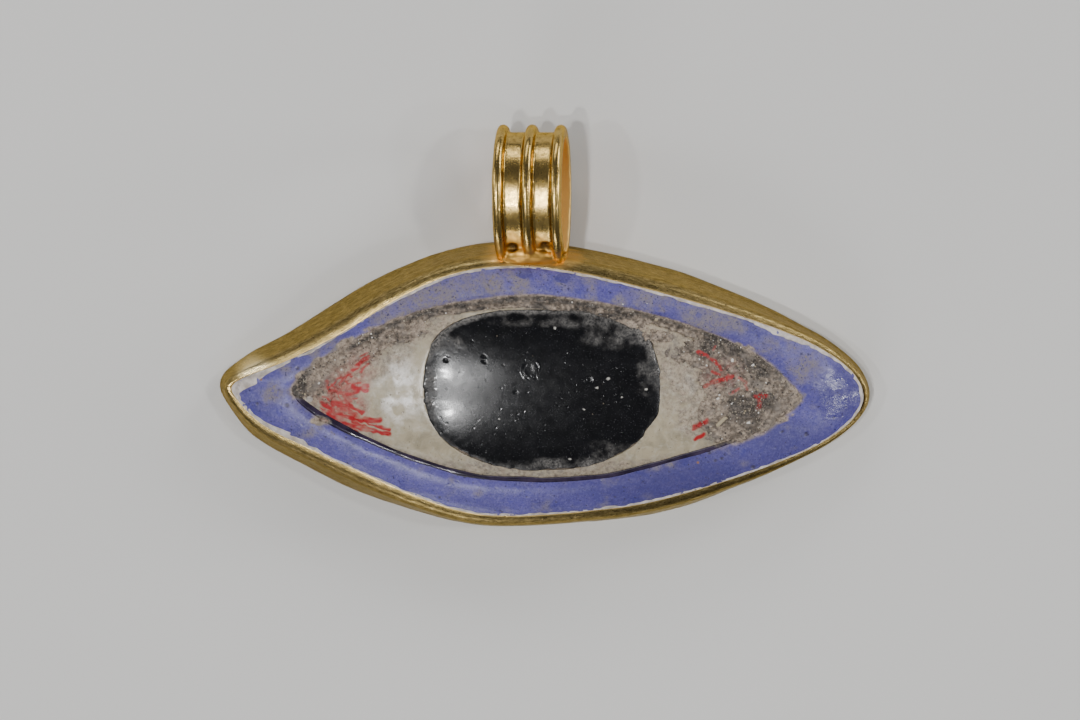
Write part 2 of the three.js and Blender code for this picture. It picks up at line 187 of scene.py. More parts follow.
# Thin grey dust on the iris.
DUST_PATCHES = (
    (6.2, -0.4, 4.2, 1.5, 0.62), (-8.8, -1.2, 1.8, 1.3, 0.6), (9.3, -4.0, 1.2, 2.6, 0.6),
    (-10.4, -5.6, 0.7, 3.4, 0.6), (0.0, 0.9, 6.0, 0.6, 0.6), (5.5, -10.8, 3.2, 1.0, 0.5),
    (1.0, -12.2, 7.0, 0.7, 0.6),
)
# The corner where the dark line is thick, and the gold's burnished left tip, whose lighter colour
# is a painted highlight.
THICK_LINE_PATCHES = ((-19.6, -8.2, 5.4, 3.2, 1.0),)
BURNISHED_HIGHLIGHT_PATCHES = ((-27.2, -3.9, 1.5, 1.0, 1.0),)
# Where the glass ends in a calm line, and in mm how much wider the plaster shows elsewhere.
CALM_PATCHES = ((-27.6, -4.0, 3.0, 2.2, 1.0),)
PLASTER_PATCHES = (
    (-29.4, -4.9, 1.3, 1.3, 1.1), (-25.0, -8.8, 5.0, 3.4, 0.34), (-24.0, -1.6, 4.5, 2.5, 0.1),
    (22.9, -0.9, 3.8, 1.7, 0.42), (29.4, -5.2, 1.2, 2.2, 0.12), (-18.0, 0.6, 6.0, 3.4, -0.17),
)
# Width of the plaster's thin line, and the least that a rag leaves of it.
PLASTER_LINE = 0.22
PLASTER_LEAST = 0.1


def gauss(spread):
    """Weights of a bell curve whose spread is counted in samples."""
    reach = max(1, int(3 * spread))
    steps = np.arange(-reach, reach + 1)
    weights = np.exp(-0.5 * (steps / spread) ** 2)
    return steps, weights / weights.sum()


def smooth_round(values, spread):
    """Smooths along the columns, which run all the way round (axis 1)."""
    steps, weights = gauss(spread)
    return sum(w * np.roll(values, s, axis=1) for s, w in zip(steps, weights))


def smooth_line(values, spread=8):
    """Smooths a single line that runs all the way round."""
    return smooth_round(values[None], spread)[0]


def smooth_across(values, spread):
    """Smooths along the rows (axis 0), keeping the first and last row in place."""
    steps, weights = gauss(spread)
    count = len(values)
    out = np.zeros_like(values)
    for step, weight in zip(steps, weights):
        index = np.arange(count) + step
        low = 2 * values[0] - values[np.clip(-index, 0, count - 1)]
        high = 2 * values[-1] - values[np.clip(2 * (count - 1) - index, 0, count - 1)]
        inside = values[np.clip(index, 0, count - 1)]
        column = index.reshape((-1,) + (1,) * (values.ndim - 1))
        out += weight * np.where(column < 0, low, np.where(column >= count, high, inside))
    return out


def noise(points, size, seed, stretch=(1, 1, 1)):
    """Smooth noise from -1 to 1 whose features have the given size in mm."""
    place = points / (size * np.array(stretch, float)) + seed * 17.31
    cell = np.floor(place).astype(np.int64)
    part = place - cell
    part = part * part * (3 - 2 * part)
    total = np.zeros(points.shape[:-1])
    for corner in itertools.product((0, 1), repeat=3):
        c = cell + np.array(corner)
        mixed = c[..., 0] * 73856093 ^ c[..., 1] * 19349663 ^ c[..., 2] * 83492791
        mixed = (mixed ^ (seed * 2654435761)) & 0xFFFFFFFF
        mixed = ((mixed ^ (mixed >> 15)) * 2246822519) & 0xFFFFFFFF
        mixed = ((mixed ^ (mixed >> 13)) * 3266489917) & 0xFFFFFFFF
        value = ((mixed ^ (mixed >> 16)) & 0xFFFFFF) / 0xFFFFFF * 2 - 1
        weight = np.prod(np.where(np.array(corner) == 1, part, 1 - part), axis=-1)
        total += value * weight
    return total


def layers(points, size, seed, count=3):
    """Noise with finer and finer layers."""
    return sum(noise(points, size / 2 ** i, seed + i) / 2 ** i for i in range(count)) / 1.6


def waves(points, terms):
    """Noises added up, each given by its height, the size of its features and its seed."""
    return sum(height * noise(points, size, seed) for height, size, seed in terms)


def step(values, low, high):
    """Goes smoothly from 0 to 1 between two values."""
    share = np.clip((values - low) / (high - low), 0, 1)
    return share * share * (3 - 2 * share)


def distance_to(points, x, y):
    """Distance in the plane from each point to a place."""
    return np.hypot(points[..., 0] - x, points[..., 1] - y)


def oval(points, x, y, reach_x, reach_y):
    """Squared distance from a middle, counted in reaches, so that an oval lies at 1."""
    return ((points[..., 0] - x) / reach_x) ** 2 + ((points[..., 1] - y) / reach_y) ** 2


def patches(points, spots):
    """How strongly the patches of a list cover each point, from 0 to 1."""
    cover = np.zeros(points.shape[:-1])
    for *spot, strength in spots:
        cover = 1 - (1 - cover) * (1 - strength * np.exp(-oval(points, *spot) ** 1.6))
    return cover


def areas(grid):
    """The area that each point of a grid stands for."""
    along, across = np.gradient(grid, axis=1), np.gradient(grid, axis=0)
    return np.linalg.norm(np.cross(along, across), axis=-1).reshape(-1)


def pitted(grid, seed, count, sizes, depth):
    """Depth of small round bubbles that broke open at the surface of a grid."""
    rng = np.random.default_rng(seed)
    flat = grid[..., :2].reshape(-1, 2)
    area = areas(grid)
    total = np.zeros(len(flat))
    for index in rng.choice(len(flat), count, p=area / area.sum()):
        size = rng.uniform(*sizes)
        away = distance_to(flat, *flat[index]) / size
        total = np.maximum(total, depth * rng.uniform(0.4, 1) * np.clip(1 - away ** 3, 0, 1))
    return total.reshape(grid.shape[:2])


def distance_to_path(points, path):
    """Distance in the plane from each point to a path of straight pieces."""
    nearest = np.full(points.shape[:-1], 1e9)
    for start, end in zip(path[:-1], path[1:]):
        a, b = np.array(start), np.array(end)
        along = np.clip(((points[..., :2] - a) @ (b - a)) / ((b - a) @ (b - a)), 0, 1)
        gap = np.linalg.norm(points[..., :2] - a - along[..., None] * (b - a), axis=-1)
        nearest = np.minimum(nearest, gap)
    return nearest


def at_height(points, heights):
    """Points of the plane lifted to given heights."""
    heights = np.broadcast_to(heights, points.shape[:-1])
    return np.concatenate([points, heights[..., None]], axis=-1)


def look_down(tree, point):
    """What a ray meets first that looks straight down at a point of the plane."""
    return tree.ray_cast(Vector((point[0], point[1], RAY_HEIGHT)), DOWN)


class Face:
    """The front of the frame, read with rays along spokes from the middle of the iris."""

    # How often the way to an edge is halved, which finds it to a few thousandths of a mm.
    HALVINGS = 14

    def __init__(self):
        self.trees = {name: self.tree([name]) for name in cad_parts}
        self.owners = []
        self.all_trees = self.tree(FACE_ORDER, self.owners)
        low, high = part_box("iris")
        self.middle = np.array((low + high) / 2)[:2] / MM
        low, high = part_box("gold_setting")
        self.half = np.array(high - low)[:2] / 2 / MM
        self.turn = np.linspace(0, 2 * math.pi, COLUMNS, endpoint=False)
        spokes = np.stack([np.cos(self.turn), np.sin(self.turn)], -1) * self.half
        self.spokes = spokes / np.linalg.norm(spokes, axis=1, keepdims=True)
        edges = np.array([self.edge(name) for name in FACE_ORDER[:-1]])
        self.edges = dict(zip(FACE_ORDER, smooth_round(edges, 5)))

    def tree(self, names, owners=None):
        """A search tree of some nodes. Owners takes the place of each face's node."""
        points, faces = [], []
        for name in names:
            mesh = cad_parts[name].data
            start = len(points)
            points += [v.co / MM for v in mesh.vertices]
            for polygon in mesh.polygons:
                faces.append([start + i for i in polygon.vertices])
                if owners is not None:
                    owners.append(FACE_ORDER.index(name))
        return BVHTree.FromPolygons(points, faces)

    def edge(self, name):
        """How far out along each spoke this piece, or one inside it, is on top."""
        limit = FACE_ORDER.index(name)
        radii = []
        for spoke in self.spokes:
            low, high = 0.0, float(self.half[0]) + 1
            for _ in range(self.HALVINGS):
                middle = (low + high) / 2
                index = look_down(self.all_trees, self.middle + spoke * middle)[2]
                if index is not None and self.owners[index] <= limit:
                    low = middle
                else:
                    high = middle
            radii.append(low)
        return radii

    def top(self, name, points):
        """Height of a piece's top under points of the plane. Misses take their neighbours'."""
        tree = self.trees[name]
        heights = np.full(points.shape[:-1], np.nan)
        for index in np.ndindex(heights.shape):
            hit = look_down(tree, points[index])[0]
            if hit is not None:
                heights[index] = hit.z
        rows, columns = np.arange(len(heights)), np.arange(heights.shape[1])
        for column in columns:
            good = ~np.isnan(heights[:, column])
            if good.any():
                heights[:, column] = np.interp(rows, rows[good], heights[good, column])
        good = ~np.isnan(heights[0])
        for row in heights:
            row[:] = np.interp(columns, columns[good], row[good], period=len(columns))
        return heights

    def surface(self, points):
        """Height of whatever is on top under points of the plane."""
        heights = np.zeros(points.shape[:-1])
        for index in np.ndindex(heights.shape):
            hit = look_down(self.all_trees, points[index])[0]
            heights[index] = hit.z if hit is not None else 0.0
        return heights

    def plane(self, radii):
        """Points of the plane at given radii on the spokes."""
        return self.middle + self.spokes * radii[..., None]

    def grid(self, inner, outer, rows):
        """Points of the plane in even rows from one radius to another."""
        return self.plane(inner + (outer - inner) * np.linspace(0, 1, rows)[:, None])

    def ring(self, inner, outer, rows, name, limit=None, inset=0.02):
        """A grid of points on a piece's top. Its heights come from the piece itself, which
        ends at the limit, and are stretched out to the grid's own outer edge."""
        points = self.grid(inner, outer, rows)
        limit = outer if limit is None else limit
        shares = np.clip(np.linspace(0, 1, rows), inset, 1 - inset)[:, None]
        safe = self.plane(inner + (limit - inner) * shares)
        heights = smooth_round(smooth_across(self.top(name, safe), 2.5), 6)
        return at_height(points, heights)

    def row(self, radii, heights):
        """One row of points at given radii and heights."""
        return at_height(self.plane(radii), heights)

    def level(self, name, radii, spread=5):
        """Height of a piece's top along a line of given radii, evened out."""
        return smooth_line(self.top(name, self.plane(radii)[None])[0], spread)


def normals(grid):
    """Unit normals of a grid whose columns run round, pointing up on a level surface."""
    along = np.roll(grid, -1, axis=1) - np.roll(grid, 1, axis=1)
    across = np.gradient(grid, axis=0)
    out = np.cross(across, along)
    return out / np.maximum(np.linalg.norm(out, axis=-1, keepdims=True), 1e-9)


def raised(grid, height):
    """The grid moved along its normals."""
    return grid + normals(grid) * height[..., None]


def build(name, grid, masks=None, closed=False):
    """Makes a mesh object from a grid of points. A closed grid joins its last row to its
    first, and any other is capped at both ends."""
    rows, columns = grid.shape[:2]
    points = grid.reshape(-1, 3)
    bands = rows if closed else rows - 1
    i, j = np.meshgrid(np.arange(bands), np.arange(columns), indexing="ij")
    low, high = i * columns, (i + 1) % rows * columns
    after = (j + 1) % columns
    quads = np.stack([low + j, high + j, high + after, low + after], -1).reshape(-1, 4).tolist()
    if not closed:
        poles = np.array([grid[0].mean(0), grid[-1].mean(0)])
        points = np.concatenate([points, poles])
        last, ring = rows * columns, np.arange(columns)
        turn = np.roll(ring, -1)
        quads += np.stack([np.full(columns, last), ring, turn], -1).tolist()
        end = (rows - 1) * columns
        quads += np.stack([np.full(columns, last + 1), end + turn, end + ring], -1).tolist()
    mesh = bpy.data.meshes.new(name)
    mesh.from_pydata((points * MM).tolist(), [], quads)
    for mask, values in (masks or {}).items():
        ends = [] if closed else [values[0].mean(), values[-1].mean()]
        add_mask(mesh, mask, np.concatenate([values.reshape(-1), ends]))
    finish_mesh(mesh)
    return place(name, mesh)


def build_band(name, grid, masks, depth):
    """Makes a closed mesh from a top, with walls down from its inner and outer edge."""
    walls = grid[[0, -1]].copy()
    walls[..., 2] -= depth
    masks = {mask: np.concatenate([v[:1], v, v[-1:]]) for mask, v in masks.items()}
    return build(name, np.concatenate([walls[:1], grid, walls[1:]]), masks, closed=True)


def add_mask(mesh, name, values):
    """Stores a value on each point of a mesh, for its material to read."""
    attribute = mesh.attributes.new(name, "FLOAT", "POINT")
    attribute.data.foreach_set("value", np.asarray(values, np.float32))


def read(items, key, kind=float):
    """Values of a mesh's points or triangles, three in a row."""
    values = np.empty(len(items) * 3, kind)
    items.foreach_get(key, values)
    return values.reshape(-1, 3)


def finish_mesh(mesh):
    """Turns faces outwards and shades them smooth."""
    mesh.update()
    mesh.calc_loop_triangles()
    triangles = read(mesh.loop_triangles, "vertices", np.int32)
    a, b, c = np.moveaxis(read(mesh.vertices, "co")[triangles], 1, 0)
    volume = np.einsum("ij,ij->i", a, np.cross(b, c)).sum()
    if volume < 0:
        mesh.flip_normals()
    mesh.polygons.foreach_set("use_smooth", [True] * len(mesh.polygons))
    mesh.update()


def place(name, mesh):
    """Puts a mesh into the scene as an object."""
    piece = bpy.data.objects.new(name, mesh)
    bpy.context.scene.collection.objects.link(piece)
    return piece


def register_piece(piece, node, material):
    """Joins a piece to the frame and gives it its finish."""
    piece.data.materials.append(material)
    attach(piece, "root")
    if node:
        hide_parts(node)


class Finish:
    """A node material put together from named steps. Colours have no alpha here."""

    def __init__(self, name):
        self.material = bpy.data.materials.new(name)
        self.material.use_nodes = True
        self.tree = self.material.node_tree
        self.shader = self.tree.nodes["Principled BSDF"]
        self.coordinates = self.tree.nodes.new("ShaderNodeTexCoord").outputs["Object"]

    def node(self, kind, inputs=None, **settings):
        """A new node with its inputs fed and its settings made."""
        made = self.tree.nodes.new(kind)
        for key, value in settings.items():
            setattr(made, key, value)
        for key, value in (inputs or {}).items():
            self.feed(value, made.inputs[key])
        return made

    def feed(self, value, socket):
        """Links another socket, or sets a number or colour. One number is a grey."""
        if isinstance(value, bpy.types.NodeSocket):
            self.tree.links.new(value, socket)
        elif socket.type == "RGBA":
            socket.default_value = (*np.broadcast_to(value, 3), 1)
        else:
            socket.default_value = value

    def shade(self, inputs):
        """Feeds the shader's own sockets."""
        for name, value in inputs.items():
            self.feed(value, self.shader.inputs[name])

    def noise(self, size, detail=3.0, rough=0.55, warp=0.0):
        """Noise with features of a size in mm."""
        node = self.node("ShaderNodeTexNoise", {
            "Vector": self.coordinates, "Scale": 1 / (size * MM), "Detail": detail,
            "Roughness": rough, "Distortion": warp})
        return node.outputs["Fac"]

    def drawn(self, size, stretch, detail=3.0, rough=0.6):
        """Noise drawn out along the outline, from the mesh's own along and across."""
        vector = self.node("ShaderNodeCombineXYZ", {
            "X": self.math("DIVIDE", self.mask("along"), size * stretch),
            "Y": self.math("DIVIDE", self.mask("across"), size)}).outputs[0]
        node = self.node("ShaderNodeTexNoise", {
            "Vector": vector, "Scale": 1.0, "Detail": detail, "Roughness": rough})
        return node.outputs["Fac"]

    def range(self, value, low, high, to_low=0.0, to_high=1.0):
        """Stretches what lies between two values to lie between two others."""
        node = self.node("ShaderNodeMapRange", {
            "Value": value, "From Min": low, "From Max": high,
            "To Min": to_low, "To Max": to_high})
        return node.outputs["Result"]

    def math(self, operation, a, b):
        return self.node("ShaderNodeMath", {0: a, 1: b}, operation=operation).outputs[0]

    def times(self, a, b):
        return self.math("MULTIPLY", a, b)

    def mix(self, share, a, b):
        """From one colour to another."""
        node = self.node("ShaderNodeMix", {0: share}, data_type="RGBA")
        self.feed(a, node.inputs[6])
        self.feed(b, node.inputs[7])
        return node.outputs[2]

    def coats(self, base, **coats):
        """Lays named coats over a base in turn, each given by its cover and its colour."""
        for cover, colour in coats.values():
            base = self.mix(cover, base, colour)
        return base

    def mask(self, name):
        """A value that the mesh brings along."""
        return self.node("ShaderNodeAttribute", attribute_name=name).outputs["Fac"]

    def blots(self, size, low, high, detail=2.0):
        """Irregular spots: the peaks of a noise."""
        return self.range(self.noise(size, detail, 0.6), low, high)

    def specks(self, spacing, size, share=0.5):
        """Small round specks: about one in each cell, on a share of the cells."""
        cells = self.node("ShaderNodeTexVoronoi", {
            "Vector": self.coordinates, "Scale": 1 / (spacing * MM)})
        near = self.range(cells.outputs["Distance"], size / spacing, size / spacing * 0.6)
        split = self.node("ShaderNodeSeparateColor", {"Color": cells.outputs["Color"]})
        return self.times(near, self.range(split.outputs[0], 1 - share, 1 - share + 0.02))

    def bump(self, height, strength, depth):
        """Fine relief of a depth in mm, added to any given before."""
        node = self.node("ShaderNodeBump", {
            "Height": height, "Strength": strength, "Distance": depth * MM})
        before = self.shader.inputs["Normal"].links
        if before:
            self.feed(before[0].from_socket, node.inputs["Normal"])
        self.feed(node.outputs["Normal"], self.shader.inputs["Normal"])

    def red(self, second):
        """The red of the strokes, uneven between the chosen one and a second one."""
        return self.mix(self.range(self.noise(0.3, 4.0), 0.35, 0.7), settings().vein_red, second)

    def dirt(self, dark=0.0):
        """Colour of dried sandy dirt. Dark runs from beige sand to nearly black."""
        sand = self.mix(self.range(self.noise(0.45, 7.0, 0.75), 0.36, 0.60),
                        (0.10, 0.075, 0.055), (0.45, 0.36, 0.28))
        black = self.mix(self.range(self.noise(0.22, 4.0, 0.7), 0.4, 0.62),
                         (0.018, 0.014, 0.012), (0.13, 0.11, 0.095))
        cover = self.times(dark, self.range(self.noise(0.4, 5.0, 0.7), 0.3, 0.5))
        return self.coats(
            sand, grey=(self.blots(1.4, 0.5, 0.62, 4.0), (0.22, 0.185, 0.155)),
            black=(cover, black), flecks=(self.blots(0.17, 0.63, 0.70), (0.05, 0.04, 0.033)),
            grit=(self.blots(0.2, 0.70, 0.76), (0.70, 0.66, 0.58)))


def inside_edge(points, face, name):
    """How far inside the edge of a piece each point lies, measured along its spoke."""
    away = points[..., :2] - face.middle
    turn = np.mod(np.arctan2(away[..., 1] / face.half[1], away[..., 0] / face.half[0]),
                  2 * math.pi)
    edge = np.interp(turn, face.turn, face.edges[name], period=2 * math.pi)
    return edge - np.linalg.norm(away, axis=-1)


def crust_cover(points, face):
    """Where dirt dried thick: in both corners and under the upper lid. It shows above 0.5."""
    depth = inside_edge(points, face, "lid_line")
    side = np.abs(points[..., 0])
    width = 1.35 + 0.9 * step(side, 9.0, 18.0) + 0.35 * noise(points, 2.2, 5)
    upper = step(points[..., 1], -4.6, -2.6)
    band = upper * step(depth, -0.55, -0.05) * step(depth, width, width * 0.45)
    spill = 0.45 * patches(points, SPILL_PATCHES)
    spread = patches(points, CRUST_PATCHES) * step(depth + spill, -1.0, -0.1)
    cover = 1 - (1 - 0.85 * band) * (1 - spread)
    broken = 0.32 * layers(points, 1.2, 9, 4) + 0.12 * noise(points, 0.22, 12)
    return np.clip(cover, 0, 1) * 1.05 + broken * np.clip(2.5 * cover, 0, 1)


def veil_cover(points, face):
    """Where a thin veil of dirt dulls the surface."""
    depth = inside_edge(points, face, "lid_line")
    near_rim = 0.85 * np.exp(-(np.clip(depth, 0, None) / 1.0) ** 2)
    cover = 1 - (1 - patches(points, VEIL_PATCHES)) * (1 - near_rim)
    near_crust = step(crust_cover(points, face), 0.0, 0.7)
    cover = 1 - (1 - cover) * (1 - 0.8 * near_crust)
    return step(cover + 0.6 * layers(points, 0.9, 15, 4) * cover ** 0.5, 0.1, 0.85)


def vein_cover(points):
    """Cover of the red strokes, with brushed, uneven edges."""
    bent = points.copy()
    bent[..., 0] += 0.12 * noise(points, 0.45, 66)
    bent[..., 1] += 0.14 * noise(points, 0.4, 67)
    cover = np.zeros(points.shape[:-1])
    for width, strength, path in VEINS:
        gap = distance_to_path(bent, path)
        cover = np.maximum(cover, strength * step(gap, width * 0.72, width * 0.34))
    hairs = np.clip(0.95 + 0.6 * noise(points, 0.28, 68, (2.2, 1, 1)), 0.3, 1)
    wash = patches(points, WASH_PATCHES) * np.clip(0.6 + 1.1 * layers(points, 0.4, 69), 0, 1)
    return np.maximum(cover * hairs, 0.8 * wash)


def glass_edge(face):
    """How far out the blue glass shows: the lip less the plaster's uneven width."""
    lip = face.row(face.edges["plaster_bedding"], LIP_LEVEL)
    width = np.full(COLUMNS, PLASTER_LINE)
    for *spot, extra in PLASTER_PATCHES:
        width += extra * np.exp(-oval(lip, *spot))
    ragged = 1 + 0.45 * noise(lip, 1.4, 31) + 0.35 * noise(lip, 0.5, 32)
    run = np.roll(lip, -1, axis=0)[:, :2] - np.roll(lip, 1, axis=0)[:, :2]
    run /= np.linalg.norm(run, axis=1, keepdims=True)
    square = np.abs(face.spokes[:, 0] * run[:, 1] - face.spokes[:, 1] * run[:, 0])
    square = np.clip(smooth_line(square), 0.45, None)
    edge = face.edges["plaster_bedding"] - np.clip(width * ragged, PLASTER_LEAST, None) / square
    calm = patches(lip, CALM_PATCHES)
    return edge + (smooth_line(edge) - edge) * calm


def lid_surface(face, rows=56):
    """The lid's top, read once and carried on under the edge of the plaster."""
    edge = glass_edge(face)
    edge = np.max([np.roll(edge, shift) for shift in range(-16, 17)], axis=0)
    edge = smooth_line(edge)
    outer = np.minimum(edge + 0.12, face.edges["plaster_bedding"] - 0.06)
    grid = face.ring(face.edges["lid_line"] + 0.02, outer, rows, "blue_lid",
                     face.edges["blue_lid"])
    grid[..., 2] = smooth_across(grid[..., 2], 6.0)
    return grid


@functools.cache
def shared_face():
    """The frame's front, read once and used by every piece."""
    return Face()


def shared_crust():
    """The crust, used by its own piece and by the grains that lie on it."""
    return crust_grid(settings().dirt_height / MM)


@functools.cache
def crust_grid(thick, rows=118):
    """The crust as one sheet over white, line and lid. It dips under them where it ends.
    Also how much of it shows, which it does above 0.5, and how low its lumps lie, for painted
    shade."""
    face = shared_face()
    inner, outer = face.edges["iris"] - 0.25, face.edges["lid_line"] + 1.3
    points = face.grid(inner, outer, rows)
    under = face.surface(points)
    high = np.max([np.roll(under, shift, axis=0) for shift in range(-3, 4)], axis=0)
    high[:3], high[-3:] = under[:3], under[-3:]
    base = smooth_round(smooth_across(high, 2.0), 5)
    flat = at_height(points, CRUST_LEVEL)
    cover = crust_cover(flat, face)
    lumps = (0.5 * layers(flat, 0.8, 46) + 0.55 * np.abs(noise(flat, 0.36, 47))
             + 0.4 * noise(flat, 0.22, 48))
    shown = step(cover, 0.38, 0.62)
    height = base + thick * ((0.35 + lumps) * shown - 1.3 * (1 - shown))
    # Low places between the lumps, marked for painted shade.
    hollow_shade = step(lumps, 0.35, -0.25)
    return at_height(points, height), cover, hollow_shade


class AmuletFinish(bpy.types.PropertyGroup):
    """Colours and relief that a user may change."""

    gold: bpy.props.FloatVectorProperty(
        name="Gold", description="Colour of the worn gold sheet",
        default=(0.45, 0.33, 0.125), **COLOUR)
    loop_gold: bpy.props.FloatVectorProperty(
        name="Loop gold", description="Colour of the polished loop",
        default=(0.58, 0.40, 0.13), **COLOUR)
    plaster: bpy.props.FloatVectorProperty(
        name="Plaster", description="Colour of the plaster bedding",
        default=(0.68, 0.62, 0.58), **COLOUR)
    blue: bpy.props.FloatVectorProperty(
        name="Blue glass", description="Colour of the lid",
        default=(0.090, 0.079, 0.34), **COLOUR)
    white: bpy.props.FloatVectorProperty(
        name="White", description="Colour of the white of the eye",
        default=(0.45, 0.385, 0.27), **COLOUR)
    vein_red: bpy.props.FloatVectorProperty(
        name="Red strokes", description="Colour of the strokes in the corners",
        default=(0.42, 0.006, 0.012), **COLOUR)
    dirt_height: bpy.props.FloatProperty(
        name="Dirt height", description="How far dried dirt stands out",
        default=0.22 * MM, min=0, max=0.4 * MM, **LENGTH)
    hammering: bpy.props.FloatProperty(
        name="Hammering", description="Depth of the uneven gold sheet",
        default=0.05 * MM, min=0, max=0.2 * MM, **LENGTH)
    camera_distance: bpy.props.FloatProperty(
        name="Camera distance", description="From the camera to the face",
        default=278 * MM, min=0.1, max=2.0, **LENGTH)
    camera_tilt: bpy.props.FloatProperty(
        name="Camera tilt", description="How far the camera leans towards the loop",
        default=math.radians(5.4), min=0, max=1.5, **ANGLE)


def settings():
    """What the user set."""
    return bpy.context.scene.amulet


class AMULET_OT_gold_setting(bpy.types.Operator):
    """Build the gold tray: turned lip, rounded shoulder, spreading wall and back sheet"""

    bl_idname = "amulet.gold_setting"
    bl_label = "Gold Setting"

    # The lip's inner side and its crest: out from the lip's edge, and up from the skin's top.
    LIP = ((-0.05, -0.4), (-0.02, 0.015))
    # Height, size and seed of the waves in the lip, and of the dents, as shares of their depth.
    LIP_WAVES = ((0.03, 1.1, 23),)
    DENTS = ((0.6, 4.0, 21), (0.4, 1.6, 22))
    # The wall's top is read this far out from the lip's edge, and its foot at this height.
    READ_OUT = 0.12
    READ_LEVEL = 0.2
    # Lowest height of the skin, so that it stays above the floor.
    LOWEST = 0.02
    # The solder's stain on the wall: its place along y, and its reach along x and y.
    STAIN_MIDDLE = 6.9
    STAIN_REACH = (5.0, 2.4)
    # The outside is read by rays that start this far from a hub inside the wall. The hub lies
    # this far in from the lip's edge, at this share of the lip's height. The first ray crosses
    # the lip's height this far out from the hub, and the last meets the wall at this height.
    START = 12
    HUB_IN = 0.3
    HUB_SHARE = 0.45
    FIRST_REACH = 0.36
    LAST_LEVEL = 0.04
    # Shares of the back's outline at which its rows lie, and how high the first one lies.
    BACK_SHARES = (0.997, 0.985, 0.95, 0.9, 0.82, 0.72, 0.6, 0.46, 0.32, 0.18, 0.07)
    BACK_EDGE = 0.006

    def execute(self, context):
        face = shared_face()
        lip = face.edges["plaster_bedding"]
        skin = self.skin(face, lip, face.level("gold_setting", lip + self.READ_OUT))
        skin = smooth_round(smooth_across(skin, 3.0), 5)
        skin = raised(skin, waves(skin, self.DENTS) * settings().hammering / MM)
        skin[..., 2] = np.maximum(skin[..., 2], self.LOWEST)
        wavy = waves(face.row(lip, LIP_LEVEL), self.LIP_WAVES)
        top = [face.row(lip + out + wavy, skin[0, :, 2] + up) for out, up in self.LIP]
        back = [self.back_row(skin[-1], share) for share in self.BACK_SHARES]
        grid = np.concatenate([top, skin, back])
        piece = build("gold_tray", grid, self.masks(grid))
        register_piece(piece, "gold_setting", self.finish_material())
        return {"FINISHED"}

    def masks(self, grid):
        """The lip's painted highlight, the lengths along and across the outline, the solder by
        the loop, painted shade low on the front side, and the burnished tip with its painted
        highlight."""
        # The lip's first rows, marked for a painted highlight in its colour.
        edge = np.zeros(grid.shape[:2])
        edge[:3] = 1
        steps = np.linalg.norm(np.roll(grid[1], -1, axis=0) - grid[1], axis=1)
        along = np.roll(np.cumsum(np.roll(steps, -COLUMNS // 4)), COLUMNS // 4)
        across = np.cumsum(np.linalg.norm(np.diff(grid, axis=0, prepend=grid[:1]), axis=-1), 0)
        low, high = (np.array(corner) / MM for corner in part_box("suspension_loop"))
        middle = ((low[0] + high[0]) / 2, self.STAIN_MIDDLE)
        gap = np.linalg.norm((grid[..., :2] - middle) / self.STAIN_REACH, axis=-1)
        solder = step(gap + 0.25 * noise(grid, 1.2, 24), 1.0, 0.55) * (grid[..., 2] > 1.0)
        # Painted shade: the lower, front side of the wall is darkened in its colour.
        dull = step(grid[..., 1], -8.0, -14.0) * step(grid[..., 2], 7.0, 3.5)
        return {"edge": edge, "along": np.broadcast_to(along, grid.shape[:2]), "across": across,
                "solder": solder, "low": dull, "burnish": patches(grid, BURNISHED_HIGHLIGHT_PATCHES)}

    def skin(self, face, lip, heights, rows=64):
        """The tray's outside, met by rays that aim at a hub under the lip."""
        tree = face.trees["gold_setting"]
        out = np.zeros((rows, COLUMNS, 3))
        for column, spoke in enumerate(face.spokes):
            hub = face.middle + spoke * (lip[column] - self.HUB_IN)
            hub_z = self.HUB_SHARE * heights[column]
            first = math.atan2(heights[column] - hub_z, self.FIRST_REACH)
            last = self.lowest_angle(tree, hub, spoke, hub_z)
            for row, angle in enumerate(np.linspace(first, last, rows)):
                towards = Vector((*(spoke * math.cos(angle)), math.sin(angle)))
                hit = tree.ray_cast(Vector((*hub, hub_z)) + towards * self.START, -towards)[0]
                out[row, column] = hit if hit is not None else out[row - 1, column]
        return out

    def lowest_angle(self, tree, hub, spoke, hub_z):
        """The angle at which a ray from a hub just meets the tray's bottom edge."""
        start = Vector((*(hub + spoke * self.START), self.READ_LEVEL))
        hit = tree.ray_cast(start, Vector((*(-spoke), 0)))[0]
        reach = (Vector((hit.x, hit.y)) - Vector(hub)).length
        return math.atan2(self.LAST_LEVEL - hub_z, reach)

    def back_row(self, edge, share):
        """A row of the flat back, drawn in from its edge."""
        middle = np.array([edge[:, 0].mean(), edge[:, 1].mean(), 0])
        row = middle + (edge - middle) * share
        row[:, 2] = self.BACK_EDGE if share == self.BACK_SHARES[0] else 0.0
        return row

